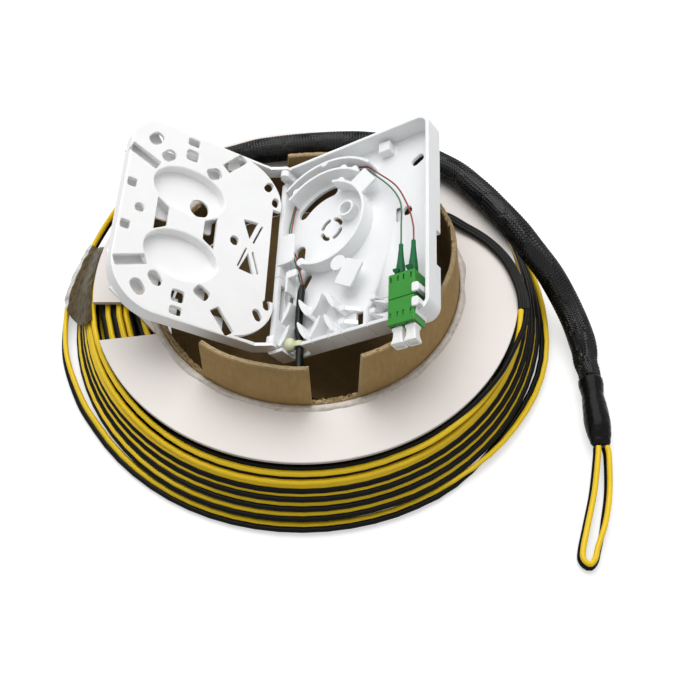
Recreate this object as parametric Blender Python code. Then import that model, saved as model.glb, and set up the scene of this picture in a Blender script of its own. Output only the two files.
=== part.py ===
"""Pre-terminated fibre wall outlet, opened on the board reel that carries its cable.

All sizes are in metres. +Z is up, the reel stands on z = 0 with its axis on the
origin, and the outlet is seen from -Y. The outlet is drawn in its own frame
(u across, v up the wall, n out of the wall) and is then laid on the reel.
"""
import math

import bmesh
import bpy
from mathutils import Euler, Matrix, Vector

# Clearance between separate pieces.
GAP = 0.0003

# Reel of board.
FLANGE_RADIUS = 0.100
FLANGE_THICKNESS = 0.0018
REEL_HEIGHT = 0.030
CORE_RADIUS = 0.072
CORE_WALL = 0.004
TAB_HEIGHT = 0.027
TORN_HEIGHT = 0.003
REAR_TAB_HEIGHT = 0.013
LIP_WIDTH = 0.0028
LIP_HEIGHT = 0.0008

# Twin cable: two round ribs side by side.
RIB_DIAMETER = 0.0024
COIL_TURNS = 5.2
COIL_STEP_OUT = 0.0028
COIL_STEP_DOWN = 0.00412
COIL_START_DEG = -70.0
TAPE_WIDTH_DEG = 25.0
TAPE_THICKNESS = 0.00025

# Flat black sleeve over the lead, from the outlet to the edge of the flange.
LEAD_SLEEVE_WIDTH = 0.0052
LEAD_SLEEVE_THICKNESS = 0.0028
LEAD_BARE_DEG = -9.0

# Pulling sleeve at the far end of the cable.
SLEEVE_DIAMETER = 0.014
SHRINK_DIAMETER = 0.0118
SHRINK_LENGTH = 0.035
LOOP_LENGTH = 0.055

# Outlet base.
BASE_WIDTH = 0.083
BASE_HEIGHT = 0.105
RIM = 0.011
WALL = 0.0018
FLOOR = 0.0016
BASE_CORNER = 0.006
SPINE_WALL = 0.004
RIB_TOP = 0.0100
MID_ARC_RADIUS = 0.030
OUTER_ARC_RADIUS = 0.036
SPOOL_RADIUS = 0.023
ARC_WALL = 0.0014

# Where the outlet lies on the reel.
OUTLET_PLACE = (-0.0108, -0.0434, 0.0190)
OUTLET_RISE_DEG = 7.0
OUTLET_LEAN_DEG = -33.6
OUTLET_TURN_DEG = -2.4

# Splice tray, hinged along the left side of the base.
HINGE_U = 0.003
HINGE_N = 0.0125
TRAY_OPEN_DEG = 114.5
TRAY_LENGTH = 0.0795
TRAY_LIFT = 0.0020
TRAY_PLATE = 0.0018
TRAY_DEPTH = 0.0070
TRAY_WALL = 0.0016
MANDREL_RADIUS = 0.0162
MANDREL_DEPTH = 0.0050
PIN_RADIUS = 0.0014
KNUCKLE_RADIUS = 0.0026

# Duplex adapter, its connectors and dust plugs.
ADAPTER_WIDTH = 0.0128
ADAPTER_HEIGHT = 0.0093
ADAPTER_LENGTH = 0.0244
ADAPTER_LIFT = 0.0047
ADAPTER_OUT = 0.005
PORT_PITCH = 0.00625
PORT_WIDTH = 0.0049
PORT_HEIGHT = 0.0050
BOOT_LENGTH = 0.0163
FIBRE_DIAMETER = 0.0009
INLET_DIAMETER = 0.0036


def clear_scene():
    for thing in list(bpy.data.objects):
        bpy.data.objects.remove(thing, do_unlink=True)


def finish(name, colour, roughness, metallic=0.0):
    made = bpy.data.materials.new(name + "_finish")
    made.use_nodes = True
    shader = made.node_tree.nodes["Principled BSDF"]
    shader.inputs["Base Color"].default_value = (colour[0], colour[1], colour[2], 1.0)
    shader.inputs["Roughness"].default_value = roughness
    shader.inputs["Metallic"].default_value = metallic
    return made


WHITE = (0.80, 0.82, 0.83)
CARD_WHITE = (0.80, 0.76, 0.74)
KRAFT = (0.25, 0.16, 0.08)
YELLOW = (0.80, 0.50, 0.03)
BLACK = (0.012, 0.012, 0.013)
GREEN = (0.05, 0.34, 0.06)
DARK_GREEN = (0.012, 0.16, 0.07)
RED = (0.50, 0.03, 0.02)
NATURAL = (0.72, 0.68, 0.50)
TAPE = (0.40, 0.26, 0.10)


def publish(name, mesh, colour, roughness, parent=None, metallic=0.0):
    mesh.materials.clear()
    mesh.materials.append(finish(name, colour, roughness, metallic))
    mesh.name = name
    mesh.shade_smooth()
    mesh.set_sharp_from_angle(angle=math.radians(32.0))
    node = bpy.data.objects.new(name, mesh)
    bpy.context.collection.objects.link(node)
    node.parent = parent
    return node


def arc(x, y, radius, start_deg, end_deg, steps):
    points = []
    for i in range(steps + 1):
        angle = math.radians(start_deg + (end_deg - start_deg) * i / steps)
        points.append((x + radius * math.cos(angle), y + radius * math.sin(angle)))
    return points


def circle(x, y, radius, steps):
    return arc(x, y, radius, 0.0, 360.0, steps)[:-1]


def rounded(x0, y0, x1, y1, radii, steps=4):
    """Rectangle with its own radius at each corner: low left, low right, top right, top left."""
    places = ((x0, y0, 1, 1, 180), (x1, y0, -1, 1, 270), (x1, y1, -1, -1, 0), (x0, y1, 1, -1, 90))
    points = []
    for (x, y, sx, sy, start), radius in zip(places, radii):
        if radius <= 0.0:
            points.append((x, y))
        else:
            points += arc(x + sx * radius, y + sy * radius, radius, start, start + 90, steps)
    return points


def turned_box(x, y, length, width, angle_deg):
    c = math.cos(math.radians(angle_deg))
    s = math.sin(math.radians(angle_deg))
    corners = ((-1, -1), (1, -1), (1, 1), (-1, 1))
    points = []
    for a, b in corners:
        p = a * length / 2
        q = b * width / 2
        points.append((x + p * c - q * s, y + p * s + q * c))
    return points


def slot(x, y, length, width, angle_deg, steps=4):
    """Long hole with round ends."""
    half = (length - width) / 2
    points = arc(half, 0.0, width / 2, -90, 90, steps) + arc(-half, 0.0, width / 2, 90, 270, steps)
    c = math.cos(math.radians(angle_deg))
    s = math.sin(math.radians(angle_deg))
    return [(x + p * c - q * s, y + p * s + q * c) for p, q in points]


def leaf(x0, y0, x1, y1, wide):
    """Pointed oval from one point to another."""
    long = math.hypot(x1 - x0, y1 - y0)
    c = (x1 - x0) / long
    s = (y1 - y0) / long
    side = [(0.0, 0.14), (0.2, 0.36), (0.45, 0.5), (0.75, 0.38), (1.0, 0.12)]
    local = [(long * a, -wide * b) for a, b in side] + [(long * a, wide * b) for a, b in side[::-1]]
    return [(x0 + a * c - b * s, y0 + a * s + b * c) for a, b in local]


def arc_strip(x, y, radius, thickness, start_deg, end_deg, steps):
    outer = arc(x, y, radius, start_deg, end_deg, steps)
    inner = arc(x, y, radius - thickness, start_deg, end_deg, steps)
    return outer + inner[::-1]


def prism(outline, low, high, along="Z"):
    """Solid between two planes; along Y the outline is given as x and z."""
    mesh = bmesh.new()
    rings = []
    for level in (low, high):
        if along == "Z":
            rings.append([mesh.verts.new((a, b, level)) for a, b in outline])
        else:
            rings.append([mesh.verts.new((a, level, b)) for a, b in outline])
    count = len(outline)
    mesh.faces.new(rings[0])
    mesh.faces.new(rings[1])
    for i in range(count):
        k = (i + 1) % count
        mesh.faces.new((rings[0][i], rings[0][k], rings[1][k], rings[1][i]))
    return closed(mesh)


def box(x0, x1, y0, y1, z0, z1):
    return prism([(x0, y0), (x1, y0), (x1, y1), (x0, y1)], z0, z1)


def turned(profile, start_deg=0.0, end_deg=360.0, steps=64):
    """Solid made by turning a closed outline of radius and height about the z axis."""
    mesh = bmesh.new()
    full = abs(end_deg - start_deg) >= 360.0
    count = steps if full else steps + 1
    rings = []
    for i in range(count):
        angle = math.radians(start_deg + (end_deg - start_deg) * i / steps)
        c = math.cos(angle)
        s = math.sin(angle)
        rings.append([mesh.verts.new((r * c, r * s, z)) for r, z in profile])
    size = len(profile)
    for i in range(count if full else count - 1):
        near = rings[i]
        far = rings[(i + 1) % count]
        for k in range(size):
            m = (k + 1) % size
            mesh.faces.new((near[k], near[m], far[m], far[k]))
    if not full:
        mesh.faces.new(rings[0])
        mesh.faces.new(rings[-1])
    return closed(mesh)


def lofted(sections):
    """Solid through closed sections that have the same number of points."""
    mesh = bmesh.new()
    rings = [[mesh.verts.new(point) for point in section] for section in sections]
    count = len(rings[0])
    for near, far in zip(rings, rings[1:]):
        for i in range(count):
            k = (i + 1) % count
            mesh.faces.new((near[i], near[k], far[k], far[i]))
    mesh.faces.new(rings[0])
    mesh.faces.new(rings[-1])
    return closed(mesh)


def closed(mesh):
    bmesh.ops.recalc_face_normals(mesh, faces=mesh.faces[:])
    data = bpy.data.meshes.new("solid")
    mesh.to_mesh(data)
    mesh.free()
    return data


def combine(body, tools, operation, place=None):
    """Fuse solids to a body or cut them from it, one after another."""
    holder = bpy.data.objects.new("body", body)
    bpy.context.collection.objects.link(holder)
    helpers = []
    for tool in tools:
        helper = bpy.data.objects.new("tool", tool)
        bpy.context.collection.objects.link(helper)
        if place is not None:
            helper.matrix_world = place
        step = holder.modifiers.new("Step", 'BOOLEAN')
        step.operation = operation
        step.solver = 'EXACT'
        step.object = helper
        helpers.append(helper)
    bpy.context.view_layer.update()
    graph = bpy.context.evaluated_depsgraph_get()
    result = bpy.data.meshes.new_from_object(holder.evaluated_get(graph))
    for thing in helpers + [holder]:
        bpy.data.objects.remove(thing, do_unlink=True)
    return welded(result)


def welded(data):
    mesh = bmesh.new()
    mesh.from_mesh(data)
    bmesh.ops.remove_doubles(mesh, verts=mesh.verts[:], dist=0.000005)
    bmesh.ops.dissolve_degenerate(mesh, dist=0.000005, edges=mesh.edges[:])
    mesh.to_mesh(data)
    mesh.free()
    return data


def fuse(body, tools):
    return combine(body, tools, 'UNION')


def cut(body, tools, place=None):
    return combine(body, tools, 'DIFFERENCE', place)


def smooth(points, spacing):
    """Evenly spaced points on a smooth curve through the given ones."""
    points = [Vector(p) for p in points]
    ends = [points[0] * 2 - points[1]] + points + [points[-1] * 2 - points[-2]]
    fine = []
    for i in range(len(points) - 1):
        a, b, c, d = ends[i:i + 4]
        for k in range(20):
            t = k / 20
            fine.append(0.5 * (2 * b + (c - a) * t + (2 * a - 5 * b + 4 * c - d) * t * t
                               + (3 * b - a - 3 * c + d) * t * t * t))
    fine.append(points[-1])
    total = sum((q - p).length for p, q in zip(fine, fine[1:]))
    count = max(2, round(total / spacing))
    even = [fine[0]]
    run = 0.0
    want = total / count
    for p, q in zip(fine, fine[1:]):
        step = (q - p).length
        while step > 0 and run + step >= want - 1e-9 and len(even) < count:
            even.append(p.lerp(q, (want - run) / step))
            want += total / count
        run += step
    even.append(fine[-1])
    return even


def tube(name, points, diameter, colour, roughness, parent=None, scales=None, detail=1):
    curve = bpy.data.curves.new(name, 'CURVE')
    curve.dimensions = '3D'
    curve.bevel_depth = diameter / 2
    curve.bevel_resolution = detail
    curve.use_fill_caps = True
    spline = curve.splines.new('POLY')
    spline.points.add(len(points) - 1)
    for i, point in enumerate(points):
        spline.points[i].co = (point[0], point[1], point[2], 1.0)
        if scales is not None:
            spline.points[i].radius = scales[i]
    curve.materials.append(finish(name, colour, roughness))
    node = bpy.data.objects.new(name, curve)
    bpy.context.collection.objects.link(node)
    node.parent = parent
    return node


def twin_frame(points, i, roll_deg):
    """Direction from the black rib to the yellow one, and the direction across that and the line."""
    before = points[max(0, i - 1)]
    after = points[min(len(points) - 1, i + 1)]
    along = (after - before).normalized()
    up = (Vector((0, 0, 1)) - along * along.z).normalized()
    side = along.cross(up)
    roll = math.radians(roll_deg)
    across = up * math.cos(roll) + side * math.sin(roll)
    return across, along.cross(across)


def twin(name, points, rolls, detail=2):
    """Yellow and black ribs on either side of one centreline; a roll of 0 has yellow on top."""
    half = (RIB_DIAMETER + GAP) / 2
    yellow = []
    black = []
    for i, point in enumerate(points):
        across = twin_frame(points, i, rolls[i])[0]
        yellow.append(point + across * half)
        black.append(point - across * half)
    tube(name + "_yellow", yellow, RIB_DIAMETER, YELLOW, 0.42, detail=detail)
    tube(name + "_black", black, RIB_DIAMETER, BLACK, 0.45, detail=detail)
    return yellow, black


def polar(radius, angle_deg, height):
    angle = math.radians(angle_deg)
    return Vector((radius * math.cos(angle), radius * math.sin(angle), height))


def ramp(value, start, end):
    part = min(1.0, max(0.0, (value - start) / (end - start)))
    return part * part * (3 - 2 * part)


OUTLET = Matrix.LocRotScale(
    Vector(OUTLET_PLACE),
    Euler((math.radians(OUTLET_RISE_DEG), math.radians(OUTLET_LEAN_DEG), math.radians(OUTLET_TURN_DEG)), 'YXZ'),
    None)
HINGE = Matrix.Translation((HINGE_U, 0.0, HINGE_N))
TRAY = OUTLET @ HINGE @ Matrix.Rotation(math.radians(-TRAY_OPEN_DEG), 4, 'Y')

SPOOL_U = 0.0255
SPOOL_V = BASE_HEIGHT - OUTER_ARC_RADIUS - WALL - 0.0022
ADAPTER_U = BASE_WIDTH - 0.0115
PORT_N = ADAPTER_LIFT + ADAPTER_HEIGHT / 2
PORTS = (ADAPTER_U - PORT_PITCH / 2, ADAPTER_U + PORT_PITCH / 2)
ADAPTER_END = ADAPTER_LENGTH - ADAPTER_OUT
BOOT_START = ADAPTER_END + 0.0015
BOOT_END = BOOT_START + BOOT_LENGTH
INLET_N = FLOOR + INLET_DIAMETER / 2 + 0.0016


def ring_height(matrix, edge_x, edge_y, edge_z):
    """Height at which a line of the outlet or tray crosses the middle of the core's wall."""
    radius = CORE_RADIUS - CORE_WALL / 2
    best = None
    for i in range(401):
        point = matrix @ Vector((edge_x(i / 400), edge_y(i / 400), edge_z))
        miss = abs(math.hypot(point.x, point.y) - radius)
        if best is None or miss < best[0]:
            best = (miss, point.z)
    return best[1]


def build_reel():
    inner = CORE_RADIUS - CORE_WALL
    low = FLANGE_THICKNESS
    hole = CORE_RADIUS + GAP
    under = REEL_HEIGHT - FLANGE_THICKNESS

    bottom = turned([(hole, 0.0), (FLANGE_RADIUS, 0.0), (FLANGE_RADIUS, low), (hole, low)], steps=72)
    publish("reel_lower_flange", bottom, CARD_WHITE, 0.75)

    lip = hole + LIP_WIDTH
    top = turned([(hole, under), (FLANGE_RADIUS, under), (FLANGE_RADIUS, REEL_HEIGHT), (lip, REEL_HEIGHT),
                  (lip - 0.0006, REEL_HEIGHT + LIP_HEIGHT), (hole, REEL_HEIGHT + LIP_HEIGHT)], steps=72)
    far = FLANGE_RADIUS + 0.003
    notch = prism([(-far, -0.0154), (-0.0835, -0.0154), (-(lip + 0.0003) * 0.894, -(lip + 0.0003) * 0.448),
                   (-0.095, -0.0376), (-far, -0.038)], under - 0.002, REEL_HEIGHT + 0.003)
    publish("reel_upper_flange", cut(top, [notch]), CARD_WHITE, 0.75)

    # The core stands through both flanges and is torn into tabs above the upper one.
    front = REEL_HEIGHT + TAB_HEIGHT
    seat = ring_height(OUTLET, lambda t: t * BASE_WIDTH, lambda t: 0.0, 0.0) + 0.0016
    rest = ring_height(TRAY, lambda t: t * TRAY_LENGTH, lambda t: BASE_HEIGHT / 2, TRAY_LIFT + TRAY_DEPTH) + 0.0014
    torn = REEL_HEIGHT + TORN_HEIGHT
    rear = REEL_HEIGHT + REAR_TAB_HEIGHT
    slope = 0.0012
    sectors = ((-136.0, -87.0, front - slope, front), (-87.0, -70.0, torn, torn), (-70.0, 24.0, seat, seat),
               (24.0, 80.0, torn - 0.0012, torn - 0.0012), (80.0, 130.0, rear, rear - slope), (130.0, 160.0, torn, torn),
               (160.0, 205.0, rest, rest), (205.0, 224.0, torn, torn))
    core = torn_tube(inner, CORE_RADIUS, sectors, 5.0)
    wide = 0.004
    over_base = box(-wide, BASE_WIDTH + GAP, -GAP, BASE_HEIGHT + wide, -GAP, 0.05)
    beside = ADAPTER_WIDTH / 2 + 0.0015
    over_plugs = box(ADAPTER_U - beside, ADAPTER_U + beside, -0.035, 0.001, ADAPTER_LIFT - 2 * GAP, 0.05)
    core = cut(core, [over_base, over_plugs], OUTLET)
    half = tray_half_width() + 0.001
    mid = BASE_HEIGHT / 2
    over_tray = box(-0.004, TRAY_LENGTH + 0.002, mid - half, mid + half, -0.06, TRAY_LIFT + TRAY_DEPTH + GAP)
    core = cut(core, [over_tray], TRAY)
    publish("reel_core", core, KRAFT, 0.85)

    # A round of board closes the core's foot.
    publish("core_floor", prism(circle(0.0, 0.0, inner - GAP, 48), 0.0, low), KRAFT, 0.85)


def torn_tube(inner, outer, sectors, step_deg):
    """Upright tube whose top edge steps from sector to sector; sectors are angles and heights."""
    mesh = bmesh.new()
    spans = []
    for start, end, low, high in sectors:
        parts = max(1, round((end - start) / step_deg))
        for i in range(parts):
            spans.append((start + (end - start) * i / parts, low + (high - low) * i / parts,
                          low + (high - low) * (i + 1) / parts))
    count = len(spans)
    columns = []
    for i, (angle, height, _) in enumerate(spans):
        levels = sorted({0.0, round(height, 7), round(spans[i - 1][2], 7)})
        column = {}
        for level in levels:
            place = polar(1.0, angle, 0.0)
            column[level] = (mesh.verts.new((place.x * inner, place.y * inner, level)),
                             mesh.verts.new((place.x * outer, place.y * outer, level)))
        columns.append(column)
    for i, (_, height, following) in enumerate(spans):
        near = columns[i]
        far = columns[(i + 1) % count]
        left = [near[z] for z in sorted(near) if z <= round(height, 7)]
        right = [far[z] for z in sorted(far) if z <= round(following, 7)]
        for face in (0, 1):
            mesh.faces.new([pair[face] for pair in right] + [pair[face] for pair in left[::-1]])
        mesh.faces.new((left[-1][0], left[-1][1], right[-1][1], right[-1][0]))
        mesh.faces.new((left[0][0], left[0][1], right[0][1], right[0][0]))
        before = round(spans[i - 1][2], 7)
        low = min(before, round(height, 7))
        high = max(before, round(height, 7))
        if high > low:
            mesh.faces.new((near[low][0], near[low][1], near[high][1], near[high][0]))
    return closed(mesh)


def coil_place():
    start = FLANGE_RADIUS + RIB_DIAMETER / 2 + 0.0004
    return start, REEL_HEIGHT - FLANGE_THICKNESS - 0.0039


def build_coil():
    start, top = coil_place()
    count = round(COIL_TURNS * 24)
    last = start + count / 24 * COIL_STEP_OUT
    foot = top - count / 24 * COIL_STEP_DOWN
    clear = RIB_DIAMETER / 2 + 0.0016
    inner = CORE_RADIUS + 2 * GAP
    shelf = FLANGE_THICKNESS + GAP
    lid = REEL_HEIGHT - FLANGE_THICKNESS - GAP
    outer = FLANGE_RADIUS + 2 * GAP
    drop = (RIB_DIAMETER + GAP) / 2
    profile = [(inner, shelf), (outer, shelf), (outer, 0.0004), (last - clear - 0.0006, 0.0004),
               (last - clear, foot - drop), (start - clear, top - drop), (start - clear, lid), (inner, lid)]
    publish("coil_inner_turns", turned(profile, steps=60), BLACK, 0.5)

    points = []
    for i in range(count + 1):
        turn = i / 24
        points.append(polar(start + turn * COIL_STEP_OUT, COIL_START_DEG - 360.0 * turn,
                            top - turn * COIL_STEP_DOWN))
    yellow, black = twin("cable_coil", points, [0.0] * len(points), 1)
    nearest = min((p - q).length for first, second in ((yellow, yellow), (black, black), (yellow, black), (black, yellow))
                  for i, p in enumerate(first) for q in second[i + 12:i + 37])
    print("least gap between coil turns: %.2f mm" % (1000 * (nearest - RIB_DIAMETER)))

    # Clear tape over the left side of the coil.
    lift = RIB_DIAMETER / 2 + 0.0009
    skin = [(start + 0.0020, top + 0.0030), (last + lift - 0.0008, foot + 0.0040),
            (last + lift + 0.0034, foot + 0.0036), (last + lift + 0.0042, 0.0010)]
    back = [(r + TAPE_THICKNESS * 0.75, z + TAPE_THICKNESS * 0.66) for r, z in skin]
    back[-1] = (skin[-1][0] + TAPE_THICKNESS, skin[-1][1])
    tape = turned(skin + back[::-1], 161.0, 161.0 + TAPE_WIDTH_DEG, 10)
    publish("coil_tape", tape, TAPE, 0.3)
    return last, foot


def oval(points, rolls, width, thickness):
    """Solid of flat oval section along a line; a roll of 90 lies flat, 0 and 180 stand on edge."""
    sections = []
    half = (width - thickness) / 2
    outline = arc(half, 0.0, thickness / 2, -90, 90, 4) + arc(-half, 0.0, thickness / 2, 90, 270, 4)
    for i, point in enumerate(points):
        across, side = twin_frame(points, i, rolls[i])
        sections.append([point + across * a + side * b for a, b in outline])
    return lofted(sections)


def build_lead():
    """Cable from the outlet, round the inside of the core, over the flange and into the coil."""
    start, top = coil_place()
    inner = CORE_RADIUS - CORE_WALL
    edge = FLANGE_RADIUS
    flat = REEL_HEIGHT + LEAD_SLEEVE_THICKNESS / 2 + 2 * GAP
    torn = REEL_HEIGHT + TORN_HEIGHT
    mouth = OUTLET @ Vector((0.0139, -0.0085 - 2 * GAP, INLET_N))
    mouth_out = OUTLET @ Vector((0.0141, -0.0125, INLET_N))
    route = [mouth, mouth_out, polar(inner - 0.0050, -91, 0.0235), polar(inner - 0.0042, -78, 0.0130),
             polar(inner - 0.0042, -58, 0.0085), polar(inner - 0.0042, -38, 0.0080),
             polar(inner - 0.0042, -18, 0.0105), polar(inner - 0.0042, 2, 0.0165),
             polar(inner - 0.0042, 20, 0.0255), polar(inner - 0.0010, 33, torn + 0.0022),
             polar(CORE_RADIUS + 0.0042, 29, flat + 0.0016), polar(CORE_RADIUS + 0.0085, 21, flat + 0.0003),
             polar(CORE_RADIUS + 0.0120, 15, flat), polar(edge - 0.0120, 10.6, flat), polar(edge - 0.0080, 6.6, flat),
             polar(edge - 0.0040, 1.8, flat), polar(edge - 0.0010, -2.6, flat), polar(edge + 0.0015, -7.5, flat),
             polar(edge + 0.0029, -13, flat - 0.0010), polar(edge + 0.0030, -18.5, flat - 0.0028),
             polar(edge + 0.0025, -25, flat - 0.0043), polar(edge + 0.0020, -33, flat - 0.0056),
             polar(edge + 0.0017, -44, top + 0.0015), polar(start, -58, top + 0.0001),
             polar(start, COIL_START_DEG + 0.4, top)]
    points = smooth(route, 0.0062)
    rolls = []
    bare = len(points)
    for i, point in enumerate(points):
        angle = math.degrees(math.atan2(point.y, point.x))
        outside = math.hypot(point.x, point.y) > CORE_RADIUS
        if not outside:
            rolls.append(180.0 - 90.0 * ramp(angle, 6.0, 30.0))
        else:
            rolls.append(90.0 + 90.0 * ramp(-angle, 9.0, 24.0) - 180.0 * ramp(-angle, 30.0, 54.0))
            if angle < LEAD_BARE_DEG:
                bare = min(bare, i)
    sleeve = oval(points[:bare], rolls[:bare], LEAD_SLEEVE_WIDTH, LEAD_SLEEVE_THICKNESS)
    publish("lead_sleeve", sleeve, BLACK, 0.5)
    begin = points[bare - 1].lerp(points[bare], 0.15)
    twin("cable_lead", [begin] + points[bare:], [rolls[bare - 1]] + rolls[bare:])


def build_tail(last, foot):
    """Cable from the coil, up over the flange at the back and into the pulling sleeve."""
    edge = FLANGE_RADIUS
    over = REEL_HEIGHT + SLEEVE_DIAMETER / 2 + GAP
    end = COIL_START_DEG - 15.0 * round(COIL_TURNS * 24)
    leave = (end + 180.0) % 360.0 - 180.0
    route = [polar(last, leave - 0.2, foot), polar(last + 0.0008, leave - 9, foot),
             polar(last + 0.0024, leave - 22, foot), polar(last + 0.0030, -180, foot),
             polar(last + 0.0030, 170, foot), polar(last + 0.0030, 161, foot + 0.0006),
             polar(edge + 0.0168, 154, foot + 0.0075), polar(edge + 0.0125, 148, foot + 0.0165),
             polar(edge + 0.0075, 142, foot + 0.0255), polar(edge + 0.0012, 136, foot + 0.0315),
             polar(edge - 0.0055, 130.5, over), polar(edge - 0.0105, 126, over),
             polar(edge - 0.0132, 122.4, over)]
    points = smooth(route, 0.0066)
    twin("cable_tail", points, [0.0] * len(points))

    low = SLEEVE_DIAMETER / 2 + GAP
    route = [polar(edge - 0.0135, 122, over), polar(edge - 0.0165, 115, over), polar(edge - 0.0188, 93.4, over),
             polar(edge - 0.0127, 72.6, over), polar(edge - 0.0110, 58.6, over), polar(edge - 0.0092, 43.3, over),
             polar(edge - 0.0050, 26.8, over), polar(edge - 0.0022, 17.2, over + 0.0002),
             polar(edge + 0.0026, 7.0, over + 0.0004), polar(edge + 0.0101, -0.8, over - 0.0065),
             polar(edge + 0.0207, -6.6, over - 0.0180), polar(edge + 0.0275, -9.3, low + 0.0052),
             polar(edge + 0.0328, -12.1, low + 0.0017), polar(edge + 0.0357, -14.4, low)]
    route.append(route[-1] + Vector((0.0008, -0.0050, 0.0)))
    route.append(route[-1] + Vector((0.0, -0.0040, 0.0)))
    points = smooth(route, 0.0085)
    scales = []
    for i in range(len(points)):
        opening = 0.62 + 0.38 * ramp(i, 0, 3)
        closing = 1.0 - 0.24 * ramp(i, len(points) - 4, len(points) - 1)
        scales.append(opening * closing)
    tube("pull_sleeve", points, SLEEVE_DIAMETER, BLACK, 0.6, scales=scales, detail=3)

    # Heat-shrink over the end of the sleeve, then the doubled cable as a pulling eye.
    end = points[-1] + Vector((0.0, -2 * GAP, 0.0))
    steps = ((0.0, 0.90), (0.10, 0.96), (0.26, 0.84), (0.42, 0.94), (0.62, 1.0), (0.82, 0.92), (0.94, 0.78), (1.0, 0.66))
    radius = SHRINK_DIAMETER / 2
    line = []
    for part, size in steps:
        drop = end.z - 0.0010 * part
        line.append((end + Vector((0.0, -SHRINK_LENGTH * part, drop - end.z)), size))
    sections = []
    for centre, size in line:
        ring = circle(0.0, 0.0, radius * size, 16)
        sections.append([(centre.x + a, centre.y, centre.z + b) for a, b in ring])
    publish("sleeve_heat_shrink", lofted(sections), BLACK, 0.3)

    foot = end + Vector((0.0, -SHRINK_LENGTH - 2 * GAP, -0.0010))
    low = RIB_DIAMETER + GAP + 0.0004
    reach = LOOP_LENGTH
    route = [foot + Vector((-0.0019, 0.0, 0.0)), foot + Vector((-0.0028, -0.10 * reach, -0.0008)),
             Vector((foot.x - 0.0062, foot.y - 0.38 * reach, low)),
             Vector((foot.x - 0.0108, foot.y - 0.66 * reach, low)),
             Vector((foot.x - 0.0138, foot.y - 0.86 * reach, low)),
             Vector((foot.x - 0.0140, foot.y - 0.95 * reach, low)),
             Vector((foot.x - 0.0108, foot.y - reach, low)),
             Vector((foot.x - 0.0076, foot.y - 0.95 * reach, low)),
             Vector((foot.x - 0.0066, foot.y - 0.86 * reach, low)),
             Vector((foot.x - 0.0036, foot.y - 0.66 * reach, low)),
             Vector((foot.x - 0.0002, foot.y - 0.38 * reach, low)),
             foot + Vector((0.0021, -0.10 * reach, -0.0008)), foot + Vector((0.0019, 0.0, 0.0))]
    points = smooth(route, 0.0030)
    twin("pull_loop", points, [0.0] * len(points))


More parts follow.
